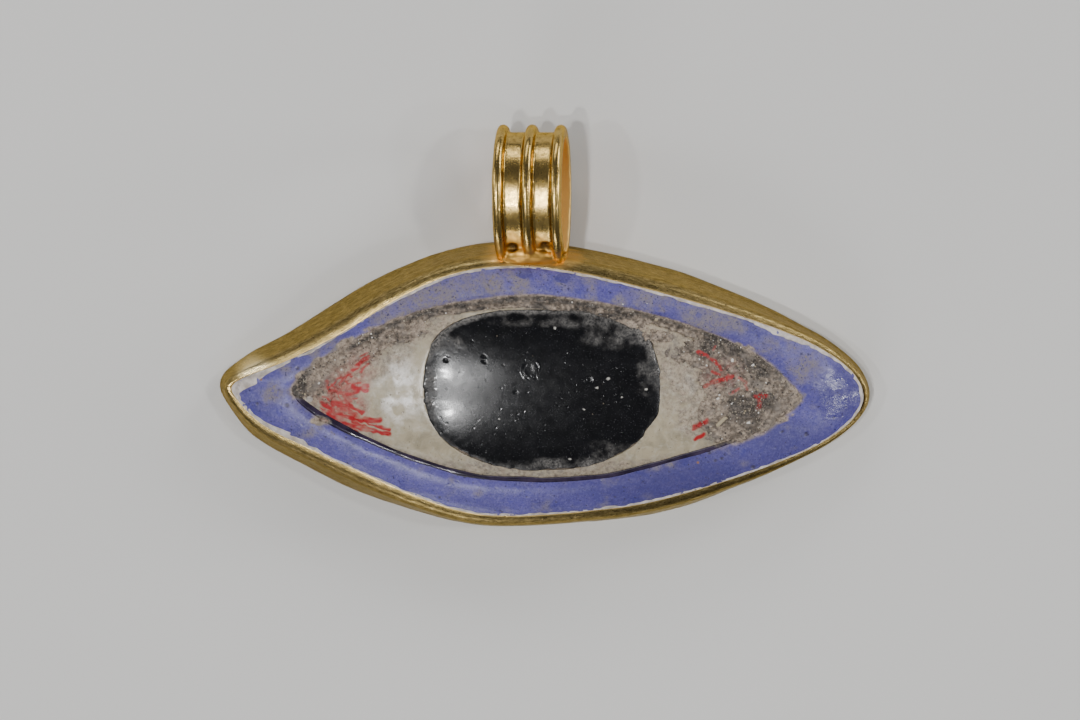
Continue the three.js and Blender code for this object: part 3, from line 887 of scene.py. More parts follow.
    @staticmethod
    def finish_material():
        f = Finish("worn_gold")
        patina = f.range(f.drawn(0.6, 1.6, 8.0, 0.75), 0.38, 0.60, 0.0, 0.9)
        streaks = f.range(f.drawn(0.07, 9.0, 4.0, 0.65), 0.48, 0.60, 0.0, 0.75)
        glints = f.range(f.drawn(0.06, 12.0, 3.0, 0.6), 0.58, 0.66, 0.0, 0.6)
        colour = f.coats(
            # The dull coat is painted shade on the lower, front side of the wall.
            settings().gold, dull=(f.times(f.mask("low"), 0.8), (0.14, 0.10, 0.038)),
            patina=(patina, (0.17, 0.125, 0.045)), streaks=(streaks, (0.10, 0.07, 0.022)),
            glints=(glints, (0.80, 0.62, 0.28)),
            spots=(f.blots(0.2, 0.60, 0.68, 6.0), (0.035, 0.025, 0.010)),
            solder=(f.mask("solder"), (0.86, 0.52, 0.15)),
            # Painted highlight: the burnished tip is also lighter in its colour.
            burnish=(f.mask("burnish"), (0.92, 0.76, 0.42)),
            # Painted highlight: the lip is lighter in its colour.
            lip=(f.mask("edge"), (0.72, 0.52, 0.20)))
        worn = f.math("ADD", f.range(f.drawn(0.3, 5.0, 5.0), 0.3, 0.7, 0.20, 0.36),
                      f.times(patina, 0.12))
        worn = f.math("SUBTRACT", worn, f.times(f.mask("burnish"), 0.12))
        f.shade({"Base Color": colour, "Metallic": 1.0, "Roughness": worn,
                 "Specular Tint": (0.88, 0.74, 0.45)})
        f.bump(f.drawn(0.08, 9.0, 4.0, 0.65), 0.45, 0.02)
        f.bump(f.noise(0.7, 4.0, 0.6), 0.35, 0.08)
        f.bump(f.noise(0.15, 4.0, 0.65), 0.5, 0.022)
        return f.material


class AMULET_OT_plaster_bedding(bpy.types.Operator):
    """Build the plaster that shows between the lip and the blue lid, ragged at its edge"""

    bl_idname = "amulet.plaster_bedding"
    bl_label = "Plaster Bedding"

    ROWS = 14
    # How far the plaster reaches under the lip, and in from its edge its level is read.
    UNDER_LIP = 0.03
    READ_IN = 0.06
    # How far it stands over the glass, how far its ragged edge dips, and its depth.
    OVER_GLASS = 0.04
    EDGE_DIP = 0.1
    DEPTH = 0.5
    # Height, size and seed of its crumbs.
    CRUMBS = ((0.045, 0.5, 34), (0.03, 0.2, 35))

    def execute(self, context):
        face = shared_face()
        lip, glass = face.edges["plaster_bedding"], glass_edge(face)
        shares = np.linspace(0, 1, self.ROWS)[:, None]
        radii = lip + self.UNDER_LIP + (glass - self.UNDER_LIP - lip) * shares
        level = face.level("plaster_bedding", lip - self.READ_IN)
        lid = lid_surface(face)
        lid_radii = np.linalg.norm(lid[..., :2] - face.middle, axis=-1)
        on_lid = np.array([
            np.interp(radii[:, column], lid_radii[:, column], lid[:, column, 2])
            for column in range(COLUMNS)]).T
        heights = level + 0.01 + (on_lid[-1] + 0.05 - level) * shares ** 1.5
        covered = radii < lid_radii[-1] + 0.04
        heights = np.where(covered, np.maximum(heights, on_lid + self.OVER_GLASS), heights)
        grid = at_height(face.plane(radii), heights)
        grid[..., 2] += waves(grid, self.CRUMBS) * np.clip(3 * shares, 0, 1)
        grid[-1, :, 2] -= self.EDGE_DIP
        piece = build_band("plaster_line", grid[::-1], {}, self.DEPTH)
        register_piece(piece, "plaster_bedding", self.finish_material())
        return {"FINISHED"}

    @staticmethod
    def finish_material():
        f = Finish("chalky_plaster")
        colour = f.coats(
            settings().plaster, shade=(f.range(f.noise(0.8, 5.0), 0.4, 0.7), (0.36, 0.31, 0.27)),
            stain=(f.range(f.noise(2.2, 3.0), 0.55, 0.75, 0.0, 0.6), (0.42, 0.33, 0.24)))
        f.shade({"Base Color": colour, "Roughness": 0.9})
        f.bump(f.noise(0.12, 4.0, 0.65), 0.6, 0.03)
        return f.material


class AMULET_OT_blue_lid(bpy.types.Operator):
    """Build the blue glass lid with its ridge, pits and dried dirt"""

    bl_idname = "amulet.blue_lid"
    bl_label = "Blue Lid"

    # Seed, count, least and largest radius, and depth of its small and large open bubbles.
    BUBBLES = ((42, 260, (0.05, 0.13), 0.06), (43, 14, (0.16, 0.3), 0.1))
    # Height, size and seed of its waves, and of the film's.
    WAVES = ((0.04, 3.0, 44), (0.014, 0.6, 45))
    FILM_WAVES = ((0.02, 0.3, 46),)
    DEPTH = 1.0

    def execute(self, context):
        face = shared_face()
        grid = lid_surface(face)
        film = step(patches(grid, FILM_PATCHES) + 0.9 * layers(grid, 1.3, 41, 5), 0.15, 1.0)
        pits = np.max([pitted(grid, *bubbles) for bubbles in self.BUBBLES], axis=0)
        relief = waves(grid, self.WAVES) - pits
        grid = raised(grid, relief + film * waves(grid, self.FILM_WAVES))
        masks = self.masks(grid, face, film)
        # The open bubbles are marked for painted shade.
        masks["pit_shade"] = step(pits, 0.0, 0.05)
        piece = build_band("blue_glass_lid", grid, masks, self.DEPTH)
        register_piece(piece, "blue_lid", self.finish_material())
        return {"FINISHED"}

    @staticmethod
    def masks(grid, face, film):
        """Dirt, film, the glossy tip, and the deeper blue, which is real where the film flaked
        off and painted shade elsewhere.
        """
        veil = step(veil_cover(grid, face), 0.45, 1.1) * step(crust_cover(grid, face), -0.1, 0.5)
        smear = patches(grid, SMEAR_PATCHES)
        smear *= step(inside_edge(grid, face, "lid_line"), -1.9, -0.9)
        smear = step(smear + 0.7 * layers(grid, 0.7, 47, 5) * smear ** 0.3, 0.35, 0.75)
        clear = patches(grid, CLEAR_PATCHES)
        clear = step(clear + 0.4 * layers(grid, 0.6, 48) * clear ** 0.3, 0.35, 0.55)
        tip = patches(grid, TIP_PATCHES)
        return {"veil": np.maximum(veil, smear), "film": film * (1 - tip) * (1 - clear),
                "tip": tip, "deep": np.maximum(patches(grid, PAINTED_SHADE_PATCHES), 0.6 * clear)}

    @staticmethod
    def finish_material():
        f = Finish("blue_glass")
        light = f.times(f.range(f.noise(0.22, 5.0, 0.75), 0.48, 0.68, 0.0, 0.7),
                        f.range(f.mask("deep"), 0.0, 0.8, 1.0, 0.35))
        film = f.times(f.mask("film"),
                       f.range(f.noise(0.42, 9.0, 0.82, 0.5), 0.36, 0.54, 0.05, 1.0))
        colour = f.coats(
            # Painted shade on parts of the lower and right side and on the tip, and the real
            # deeper blue where the film flaked off.
            settings().blue, deep=(f.mask("deep"), (0.036, 0.034, 0.16)),
            clouds=(f.range(f.noise(2.2, 7.0, 0.7), 0.42, 0.62, 0.0, 0.7), (0.052, 0.047, 0.22)),
            light=(light, (0.20, 0.19, 0.46)), film=(film, (0.205, 0.178, 0.20)),
            sand=(f.times(f.mask("film"), f.blots(0.5, 0.6, 0.68, 5.0)), (0.21, 0.17, 0.125)),
            blots=(f.blots(0.42, 0.655, 0.69, 3.0), (0.025, 0.022, 0.11)),
            grain=(f.blots(0.13, 0.58, 0.66, 3.0), (0.035, 0.032, 0.15)),
            specks=(f.specks(0.5, 0.07, 0.45), (0.012, 0.010, 0.03)),
            rust=(f.specks(2.4, 0.16, 0.25), (0.25, 0.12, 0.07)),
            dots=(f.specks(1.9, 0.09, 0.3), (0.62, 0.60, 0.62)),
            # Painted shade: the open bubbles are darker.
            pits=(f.range(f.mask("pit_shade"), 0.2, 0.9, 0.0, 0.8), (0.035, 0.03, 0.07)),
            dirt=(f.mask("veil"), f.dirt()))
        dull = f.mix(f.math("MAXIMUM", f.mask("veil"), f.times(f.mask("film"), 0.8)), 0.32, 0.8)
        glossy = f.range(f.noise(0.5, 5.0, 0.7), 0.4, 0.6, 0.12, 0.26)
        f.shade({"Base Color": colour, "Roughness": f.mix(f.mask("tip"), dull, glossy)})
        f.bump(f.noise(0.2, 4.0, 0.6), 0.4, 0.03)
        f.bump(f.noise(0.9, 2.0), 0.3, 0.06)
        return f.material


class AMULET_OT_lid_line(bpy.types.Operator):
    """Build the thin dark glass line between the lid and the white"""

    bl_idname = "amulet.lid_line"
    bl_label = "Dark Lid Line"

    ROWS = 11
    # How far each side is widened, and how much wider and higher its corner is.
    EXTRA = 0.09
    CORNER_WIDTH = 0.15
    CORNER_RISE = 0.07
    # How far its round top drops to the sides, and its depth under that.
    DROP = 0.16
    DEPTH = 0.7
    # Height, size and seed of its waves.
    WAVES = ((0.03, 1.2, 51),)

    def execute(self, context):
        face = shared_face()
        inner, outer = face.edges["eye_white"] + 0.01, face.edges["lid_line"]
        crown = face.level("lid_line", (inner + outer) / 2, 6)
        where = face.row(outer, LIP_LEVEL)
        corner = patches(where, THICK_LINE_PATCHES)
        extra = self.EXTRA * (1 + noise(where, 2.0, 52)) + self.CORNER_WIDTH * corner
        crown = crown + self.CORNER_RISE * corner
        inner, outer = inner - extra, outer + extra
        rows = []
        for angle in np.linspace(0, math.pi, self.ROWS):
            radii = (inner + outer) / 2 + (outer - inner) / 2 * math.cos(angle)
            rows.append(face.row(radii, crown - self.DROP * (1 - math.sin(angle))))
        grid = np.array(rows)
        grid[..., 2] += waves(grid, self.WAVES)
        upper = step(grid[..., 1], -5.5, -3.0)
        veil = np.maximum(step(crust_cover(grid, face), 0.1, 0.5),
                          upper * (0.8 + 0.3 * noise(grid, 0.8, 53)))
        piece = build_band("dark_glass_line", grid, {"veil": veil}, self.DEPTH)
        register_piece(piece, "lid_line", self.finish_material())
        return {"FINISHED"}

    @staticmethod
    def finish_material():
        f = Finish("dark_glass")
        colour = f.coats(
            (0.016, 0.011, 0.026),
            clouds=(f.range(f.noise(1.5, 3.0), 0.4, 0.7), (0.05, 0.035, 0.07)),
            dirt=(f.range(f.mask("veil"), 0.1, 0.9), f.dirt(0.8)))
        f.shade({"Base Color": colour, "Roughness": f.mix(f.mask("veil"), 0.14, 0.9)})
        f.bump(f.noise(0.4, 3.0), 0.3, 0.03)
        return f.material


class AMULET_OT_eye_white(bpy.types.Operator):
    """Build the white of the eye with its red strokes and the dirt in its corners"""

    bl_idname = "amulet.eye_white"
    bl_label = "White of the Eye"

    ROWS = 108
    # Seed, count, least and largest radius, and depth of its open bubbles.
    BUBBLES = (63, 60, (0.05, 0.12), 0.05)
    # Height, size and seed of its waves and of the dirt's. Then how far the places with the
    # painted highlight rise.
    WAVES = ((0.025, 2.2, 61), (0.014, 0.7, 62))
    DIRT_WAVES = ((0.03, 0.3, 64),)
    HIGHLIGHT_RISE = 0.02
    DEPTH = 0.8

    def execute(self, context):
        face = shared_face()
        inner, outer = face.edges["iris"] - 0.02, face.edges["eye_white"]
        grid = face.ring(inner, outer, self.ROWS, "eye_white")
        veil, vein = veil_cover(grid, face), vein_cover(grid)
        pits = pitted(grid, *self.BUBBLES)
        # Places with a painted highlight, which also rise a little.
        milk = step(layers(grid, 0.9, 65), -0.2, 0.5) * patches(grid, HIGHLIGHT_PATCHES)
        relief = waves(grid, self.WAVES) - pits + self.HIGHLIGHT_RISE * milk
        grid = raised(grid, relief + veil * waves(grid, self.DIRT_WAVES))
        # The open bubbles are marked for painted shade.
        masks = {"veil": veil, "vein": vein, "pit_shade": step(pits, 0.0, 0.04), "milk": milk}
        piece = build_band("white_of_eye", grid, masks, self.DEPTH)
        register_piece(piece, "eye_white", self.finish_material())
        return {"FINISHED"}

    @staticmethod
    def finish_material():
        f = Finish("white_glass")
        milk = f.times(f.mask("milk"), f.range(f.noise(0.5, 6.0, 0.75, 0.8), 0.32, 0.50))
        thin = f.times(f.mask("veil"), f.range(f.noise(0.35, 6.0, 0.75), 0.32, 0.60))
        colour = f.coats(
            settings().white,
            clouds=(f.range(f.noise(1.8, 5.0, 0.65, 0.8), 0.45, 0.68), (0.30, 0.26, 0.18)),
            pale=(f.range(f.noise(0.8, 6.0, 0.7, 0.5), 0.5, 0.72, 0.0, 0.7), (0.56, 0.525, 0.43)),
            spots=(f.blots(0.3, 0.66, 0.72, 3.0), (0.20, 0.165, 0.12)),
            # Painted highlight: pale places in the white.
            milk=(milk, (0.98, 0.94, 0.90)),
            # Painted shade: the open bubbles are darker.
            pits=(f.range(f.mask("pit_shade"), 0.2, 0.9), (0.15, 0.12, 0.09)),
            dirt=(thin, f.dirt()), strokes=(f.mask("vein"), f.red((0.36, 0.010, 0.012))))
        f.shade({"Base Color": colour, "Roughness": f.mix(thin, 0.24, 0.85),
                 "Subsurface Weight": 0.15, "Subsurface Radius": (0.0012, 0.001, 0.0008)})
        f.bump(f.noise(0.25, 4.0, 0.6), 0.35, 0.03)
        return f.material


class AMULET_OT_iris(bpy.types.Operator):
    """Build the black iris with its pits and dust"""

    bl_idname = "amulet.iris"
    bl_label = "Iris"

    ROWS = 96
    # Its innermost row, as a share of its rim.
    HEART = 0.012
    # Height, size and seed of the waves in its outline, and how far it is widened.
    OUTLINE = ((0.16, 1.3, 77), (0.10, 0.45, 78))
    OUTLINE_OUT = 0.06
    # Seed, count, least and largest radius, and depth of its open bubbles.
    BUBBLES = (73, 90, (0.05, 0.11), 0.05)
    # Height, size and seed of its waves. Then how far dust and specks rise and its rim drops.
    WAVES = ((0.02, 3.4, 71), (0.002, 0.6, 72))
    DUST_RISE = 0.03
    SPECK_RISE = 0.03
    RIM_DROP = 0.1
    # Half the width of a curved scratch.
    ARC_WIDTH = 0.07
    # How far its edge and its wall go down.
    WALLS = (0.12, 0.92)

    def execute(self, context):
        face = shared_face()
        rim = face.edges["iris"]
        grid = face.ring(rim * self.HEART, rim, self.ROWS, "iris", inset=0.015)
        grid[..., 2] = self.dome(grid)
        shares = np.linspace(0, 1, self.ROWS)[:, None]
        ragged = self.OUTLINE_OUT + waves(grid[-1], self.OUTLINE)
        grid[..., :2] += face.spokes * (shares ** 10 * ragged)[..., None]
        relief = waves(grid, self.WAVES) - pitted(grid, *self.BUBBLES) + self.marks(grid)
        speck = np.zeros(grid.shape[:2])
        for x, y, radius in IRIS_SPECKS:
            speck = np.maximum(speck, step(distance_to(grid, x, y), radius, radius * 0.6))
        dust = self.dust(grid, face)
        relief += dust * self.DUST_RISE * (1 + noise(grid, 0.25, 74)) + speck * self.SPECK_RISE
        grid = raised(grid, relief - self.RIM_DROP * shares ** 24)
        walls = np.repeat(grid[-1:], 2, axis=0)
        walls[..., 2] -= np.array(self.WALLS)[:, None]
        masks = {"dust": dust, "speck": speck}
        masks = {mask: np.concatenate([v, v[-1:], v[-1:]]) for mask, v in masks.items()}
        piece = build("black_iris", np.concatenate([grid, walls]), masks)
        register_piece(piece, "iris", self.finish_material())
        return {"FINISHED"}

    def marks(self, grid):
        """Relief of the single pits and of the curved scratches."""
        relief = np.zeros(grid.shape[:2])
        for x, y, radius, depth in IRIS_PITS:
            relief -= depth * np.exp(-(distance_to(grid, x, y) / radius) ** 3)
        for x, y, radius, start, turn, height in IRIS_ARCS:
            angle = np.arctan2(grid[..., 1] - y, grid[..., 0] - x)
            aside = np.abs(np.mod(angle - start + math.pi, 2 * math.pi) - math.pi)
            band = np.exp(-((distance_to(grid, x, y) - radius) / self.ARC_WIDTH) ** 2)
            relief += height * step(aside, turn, turn * 0.6) * band
        return relief

    @staticmethod
    def dome(grid):
        """The facets of the frame's iris, evened out to one smooth dome."""
        x, y = grid[..., 0] / 11, (grid[..., 1] + 5.3) / 8
        terms = [x ** i * y ** j for i in range(5) for j in range(5 - i)]
        terms = np.stack(terms, -1)
        fit = np.linalg.lstsq(terms.reshape(-1, terms.shape[-1]), grid[..., 2].ravel(), None)[0]
        return terms @ fit

    @staticmethod
    def dust(grid, face):
        """Grey dust along the rim, mostly above, and in thin patches."""
        depth = inside_edge(grid, face, "iris")
        upper = 0.4 + 0.6 * step(grid[..., 1], -5.5, -1.0)
        edge = upper * np.exp(-(depth / 0.5) ** 2)
        thin = patches(grid, DUST_PATCHES)
        cover = 1 - (1 - edge) * (1 - thin)
        return step(cover + 0.5 * layers(grid, 0.7, 75) * cover ** 0.5, 0.3, 1.1)

    @staticmethod
    def finish_material():
        f = Finish("black_glass")
        dust = f.times(f.mask("dust"), f.range(f.noise(0.22, 6.0, 0.8), 0.40, 0.60))
        colour = f.coats(
            (0.0012, 0.0012, 0.002),
            clouds=(f.range(f.noise(1.6, 4.0), 0.4, 0.7), (0.004, 0.004, 0.0055)),
            flecks=(f.blots(0.14, 0.60, 0.74, 3.0), (0.05, 0.05, 0.055)),
            brown=(f.specks(1.1, 0.08, 0.2), (0.12, 0.10, 0.075)),
            dust=(dust, (0.23, 0.215, 0.20)), specks=(f.mask("speck"), (0.55, 0.53, 0.48)))
        smudge = f.range(f.noise(0.9, 4.0), 0.35, 0.7, 0.20, 0.27)
        f.shade({"Base Color": colour, "Roughness": f.mix(f.mask("dust"), smudge, 0.85),
                 "Specular IOR Level": 0.45, "Coat Weight": 0.3, "Coat Roughness": 0.10})
        f.bump(f.noise(0.16, 5.0, 0.7), 0.45, 0.014)
        f.bump(f.range(f.specks(0.6, 0.12, 0.4), 0.0, 1.0, 1.0, 0.0), 0.5, 0.03)
        return f.material


class AMULET_OT_suspension_loop(bpy.types.Operator):
    """Build the ribbed suspension loop with solder run over its foot"""

    bl_idname = "amulet.suspension_loop"
    bl_label = "Suspension Loop"

    twist: bpy.props.FloatProperty(
        name="Twist", description="How far the ring is turned about the way to the eye",
        default=math.radians(-7.8), **ANGLE)
    ring_height: bpy.props.FloatProperty(
        name="Ring height", description="Crest to foot, before it is let into the wall",
        default=12.8 * MM, min=5 * MM, max=30 * MM, **LENGTH)
    band: bpy.props.FloatProperty(
        name="Band", description="Thickness of the band between its ribs",
        default=0.45 * MM, min=0.1 * MM, max=2 * MM, **LENGTH)
    rib_radius: bpy.props.FloatProperty(
        name="Rib radius", description="Radius of a rib's round crest",
        default=0.5 * MM, min=0.1 * MM, max=2 * MM, **LENGTH)
    rib_rise: bpy.props.FloatProperty(
        name="Rib rise", description="Rib crest above the band",
        default=0.72 * MM, min=0.1 * MM, max=2 * MM, **LENGTH)
    voxel: bpy.props.FloatProperty(
        name="Voxel", description="Fineness of the mesh that joins ring and solder",
        default=0.105 * MM, min=0.05 * MM, max=1 * MM, **LENGTH)

    # How much wider the turned ring is than its node, and how far its crest stays inside.
    EXTRA_WIDTH = 0.35
    CREST_GAP = 0.22
    # The solder's middle: above the ring's foot, and above the floor. Then the reach of its
    # lump, the place and reach of the tongue that ran down, and the reach of its colour.
    FOOT_RISE = 0.87
    FOOT_LEVEL = 5.0
    LUMP = (3.3, 1.3, 2.25)
    TONGUE_PLACE = (0.0, -0.6, 0.80)
    TONGUE = (3.2, 1.0, 0.75)
    SOLDER = (4.4, 3.9, 3.9)
    # Hollows left in the solder: x, y, size, and their depth.
    HOLES = ((-3.0, 7.75, 0.55), (0.05, 7.85, 0.6), (1.85, 7.0, 0.3))
    HOLE_DEPTH = 0.22
    LOWEST = 0.02

    def execute(self, context):
        low, high = (np.array(corner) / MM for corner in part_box("suspension_loop"))
        size = high - low
        cos, sin = math.cos(self.twist), abs(math.sin(self.twist))
        turned = np.array([[cos, sin], [sin, cos]])
        width, depth = np.linalg.solve(turned, [size[0] + self.EXTRA_WIDTH, size[2]])
        height = self.ring_height / MM
        crest = high[1] - self.CREST_GAP
        middle = np.array([(low[0] + high[0]) / 2, crest - height / 2, (low[2] + high[2]) / 2])
        foot = np.array([middle[0], middle[1] - height / 2 + self.FOOT_RISE, self.FOOT_LEVEL])
        ring = self.ring(middle, width, depth, height)
        solder = self.lump(foot, self.LUMP)
        tongue = self.lump(foot + self.TONGUE_PLACE, self.TONGUE)
        piece = self.join("ribbed_loop", [ring, solder, tongue])
        self.finish_shape(piece, middle, foot)
        register_piece(piece, "suspension_loop", self.finish_material())
        return {"FINISHED"}

    def ring(self, middle, width, depth, height, around=360):
        """The band with its ribs, swept round an oval."""
        band, radius, rise = self.band / MM, self.rib_radius / MM, self.rib_rise / MM
        centre = band + rise - radius
        across = np.linspace(-width / 2, width / 2, 121)
        profile = np.full(across.shape, band)
        for rib in (-1, 0, 1):
            offset = across - rib * (width / 2 - radius)
            inside = np.clip(radius ** 2 - offset ** 2, 0, None)
            profile = np.maximum(profile, np.where(inside > 0, centre + np.sqrt(inside), band))
        profile[[0, -1]] = centre * 0.7
        bore = [[width / 2, 0], [-width / 2, 0]]
        section = np.concatenate([np.stack([across, profile], 1), bore])
        turn = np.linspace(0, 2 * math.pi, around, endpoint=False)
        outward = np.stack([np.cos(turn) / height, np.sin(turn) / depth], 1)
        outward /= np.linalg.norm(outward, axis=1, keepdims=True)
        crest = np.stack([np.cos(turn) * height / 2, np.sin(turn) * depth / 2], 1)
        away = section[:, 1][:, None, None] - (band + rise)
        plane = crest[None] + outward[None] * away
        side = np.broadcast_to(section[:, :1], plane.shape[:2])
        cos, sin = math.cos(self.twist), math.sin(self.twist)
        points = np.stack([side * cos + plane[..., 1] * sin, plane[..., 0],
                           -side * sin + plane[..., 1] * cos], -1)
        return points + middle

    @staticmethod
    def lump(foot, reach, rows=32, around=64):
        """A soft lump of solder with a given reach."""
        turn = np.linspace(0, 2 * math.pi, around, endpoint=False)
        grid = []
        for angle in np.linspace(0.06, math.pi - 0.06, rows):
            x = np.cos(turn) * math.sin(angle) * reach[0]
            z = np.sin(turn) * math.sin(angle) * reach[2]
            grid.append(np.stack([x, np.full(around, math.cos(angle) * reach[1]), z], -1))
        grid = np.array(grid) + foot
        return raised(grid, 0.12 * noise(grid, 1.1, 81))

    @staticmethod
    def join(name, grids):
        """Joins the closed ring, which comes first, and the lumps into one piece."""
        parts = [build(f"{name}_{index}", grid, closed=index == 0)
                 for index, grid in enumerate(grids)]
        with bpy.context.temp_override(
                active_object=parts[0], selected_editable_objects=parts, object=parts[0]):
            bpy.ops.object.join()
        parts[0].name = name
        return parts[0]

    def finish_shape(self, piece, middle, foot):
        """Melts ring and solder into one skin, then adds the solder's small grains."""
        remesh = piece.modifiers.new("melt", "REMESH")
        remesh.mode = "VOXEL"
        remesh.voxel_size = self.voxel
        soften = piece.modifiers.new("soften", "SMOOTH")
        soften.factor = 0.5
        soften.iterations = 4
        graph = bpy.context.evaluated_depsgraph_get()
        mesh = bpy.data.meshes.new_from_object(piece.evaluated_get(graph))
        piece.modifiers.clear()
        piece.data = mesh
        points = read(mesh.vertices, "co") / MM
        outward = read(mesh.vertices, "normal")
        away = np.linalg.norm((points - foot) / self.SOLDER, axis=1)
        solder = step(away + 0.2 * noise(points, 0.9, 82), 1.15, 0.6)
        hole = np.zeros(len(points))
        for x, y, size in self.HOLES:
            gap = np.hypot(points[:, 0] - x, (points[:, 1] - y) * 1.3) / size
            hole = np.maximum(hole, step(gap, 1.2, 0.4) * (points[:, 2] > 5.5))
        # The inside of the ring, marked for a lighter colour: painted light.
        radial = points[:, 1:] - middle[1:]
        radial /= np.maximum(np.linalg.norm(radial, axis=1, keepdims=True), 1e-6)
        inner = step(-(radial * outward[:, 1:]).sum(axis=1), 0.2, 0.6)
        relief = 0.02 * noise(points, 2.0, 83) + solder * 0.05 * noise(points, 0.5, 84)
        points += outward * (relief - self.HOLE_DEPTH * hole)[:, None]
        points[:, 2] = np.maximum(points[:, 2], self.LOWEST)
        mesh.vertices.foreach_set("co", (points * MM).reshape(-1))
        for mask, values in (("solder", solder), ("hole", hole), ("inner", inner)):
            add_mask(mesh, mask, values)
        mesh.polygons.foreach_set("use_smooth", [True] * len(mesh.polygons))
        mesh.update()

    @staticmethod
    def finish_material():
        f = Finish("loop_gold")
        # Painted shade: the holes in the solder are darkened.
        shade = f.times(f.mask("hole"), f.range(f.noise(0.4, 4.0), 0.35, 0.6, 0.7, 1.0))
        colour = f.coats(
            settings().loop_gold,
            patina=(f.range(f.noise(0.5, 6.0, 0.7), 0.46, 0.66, 0.0, 0.8), (0.27, 0.18, 0.05)),
            specks=(f.blots(0.13, 0.57, 0.66, 5.0), (0.08, 0.055, 0.02)),
            solder=(f.mask("solder"), (0.74, 0.41, 0.09)), holes=(shade, (0.05, 0.03, 0.012)),
            # Painted light: the inside of the ring is lighter in its colour.
            inside=(f.mask("inner"), (0.90, 0.62, 0.22)))
        rough = f.range(f.noise(0.5, 4.0), 0.3, 0.7, 0.16, 0.30)
        rough = f.math("ADD", rough, f.times(f.mask("solder"), 0.20))
        rough = f.math("ADD", rough, f.times(f.mask("inner"), 0.35))
        f.shade({"Base Color": colour, "Metallic": 1.0, "Roughness": rough,
                 "Specular Tint": (0.95, 0.76, 0.40)})
        f.bump(f.noise(0.3, 4.0, 0.6), 0.3, 0.02)
        f.bump(f.noise(0.12, 3.0, 0.6), 0.5, 0.014)
        return f.material


class AMULET_OT_dried_dirt(bpy.types.Operator):
    """Build the dirt that dried in the corners and under the upper lid"""

    bl_idname = "amulet.dried_dirt"
    bl_label = "Dried Dirt"

    # The pebble at the left corner: x, y, radius and height.
    PEBBLE = (-21.9, -6.5, 0.42, 0.28)
    DEPTH = 0.3

    def execute(self, context):
        sheet, _, hollow_shade = shared_crust()
        flat, grid = sheet.copy(), sheet.copy()
        flat[..., 2] = CRUST_LEVEL
        depth = inside_edge(flat, shared_face(), "lid_line")
        rim = 0.75 * np.exp(-((depth - 0.1) / 0.4) ** 2) * step(flat[..., 1], -4.0, -0.5)
        bent = flat.copy()
        bent[..., 0] += 0.9 * layers(flat, 1.5, 94)
        bent[..., 1] += 0.8 * layers(flat, 1.3, 98)
        dark = np.maximum(patches(bent, DARK_PATCHES), rim) + 0.5 * layers(flat, 0.9, 92)
        x, y, radius, height = self.PEBBLE
        pebble = step(distance_to(grid, x, y), radius, 0.2)
        grid[..., 2] += height * pebble
        # The crust's low places are marked for painted shade, less of it where the crust is even.
        masks = {"dark": step(dark, 0.15, 0.85), "pebble": pebble,
                 "vein": vein_cover(flat) * np.clip(1.0 + 0.6 * layers(flat, 0.5, 93), 0, 1),
                 "hollow_shade": hollow_shade * (1 - 0.7 * patches(flat, EVEN_PATCHES))}
        piece = build_band("dried_dirt", grid, masks, self.DEPTH)
        register_piece(piece, None, self.finish_material())
        return {"FINISHED"}

    @staticmethod
    def finish_material():
        f = Finish("dried_dirt")
        colour = f.coats(
            f.dirt(f.mask("dark")),
            # Painted shade darkens the crust's low places.
            hollows=(f.times(f.mask("hollow_shade"), 0.55), (0.035, 0.027, 0.02)),
            strokes=(f.mask("vein"), f.red((0.30, 0.012, 0.012))),
            pebble=(f.range(f.mask("pebble"), 0.2, 0.8), (0.45, 0.40, 0.36)))
        rough = f.range(f.noise(0.3, 4.0), 0.35, 0.7, 0.5, 0.95)
        f.shade({"Base Color": colour, "Roughness": rough})
        f.bump(f.noise(0.16, 5.0, 0.7), 0.7, 0.05)
        return f.material


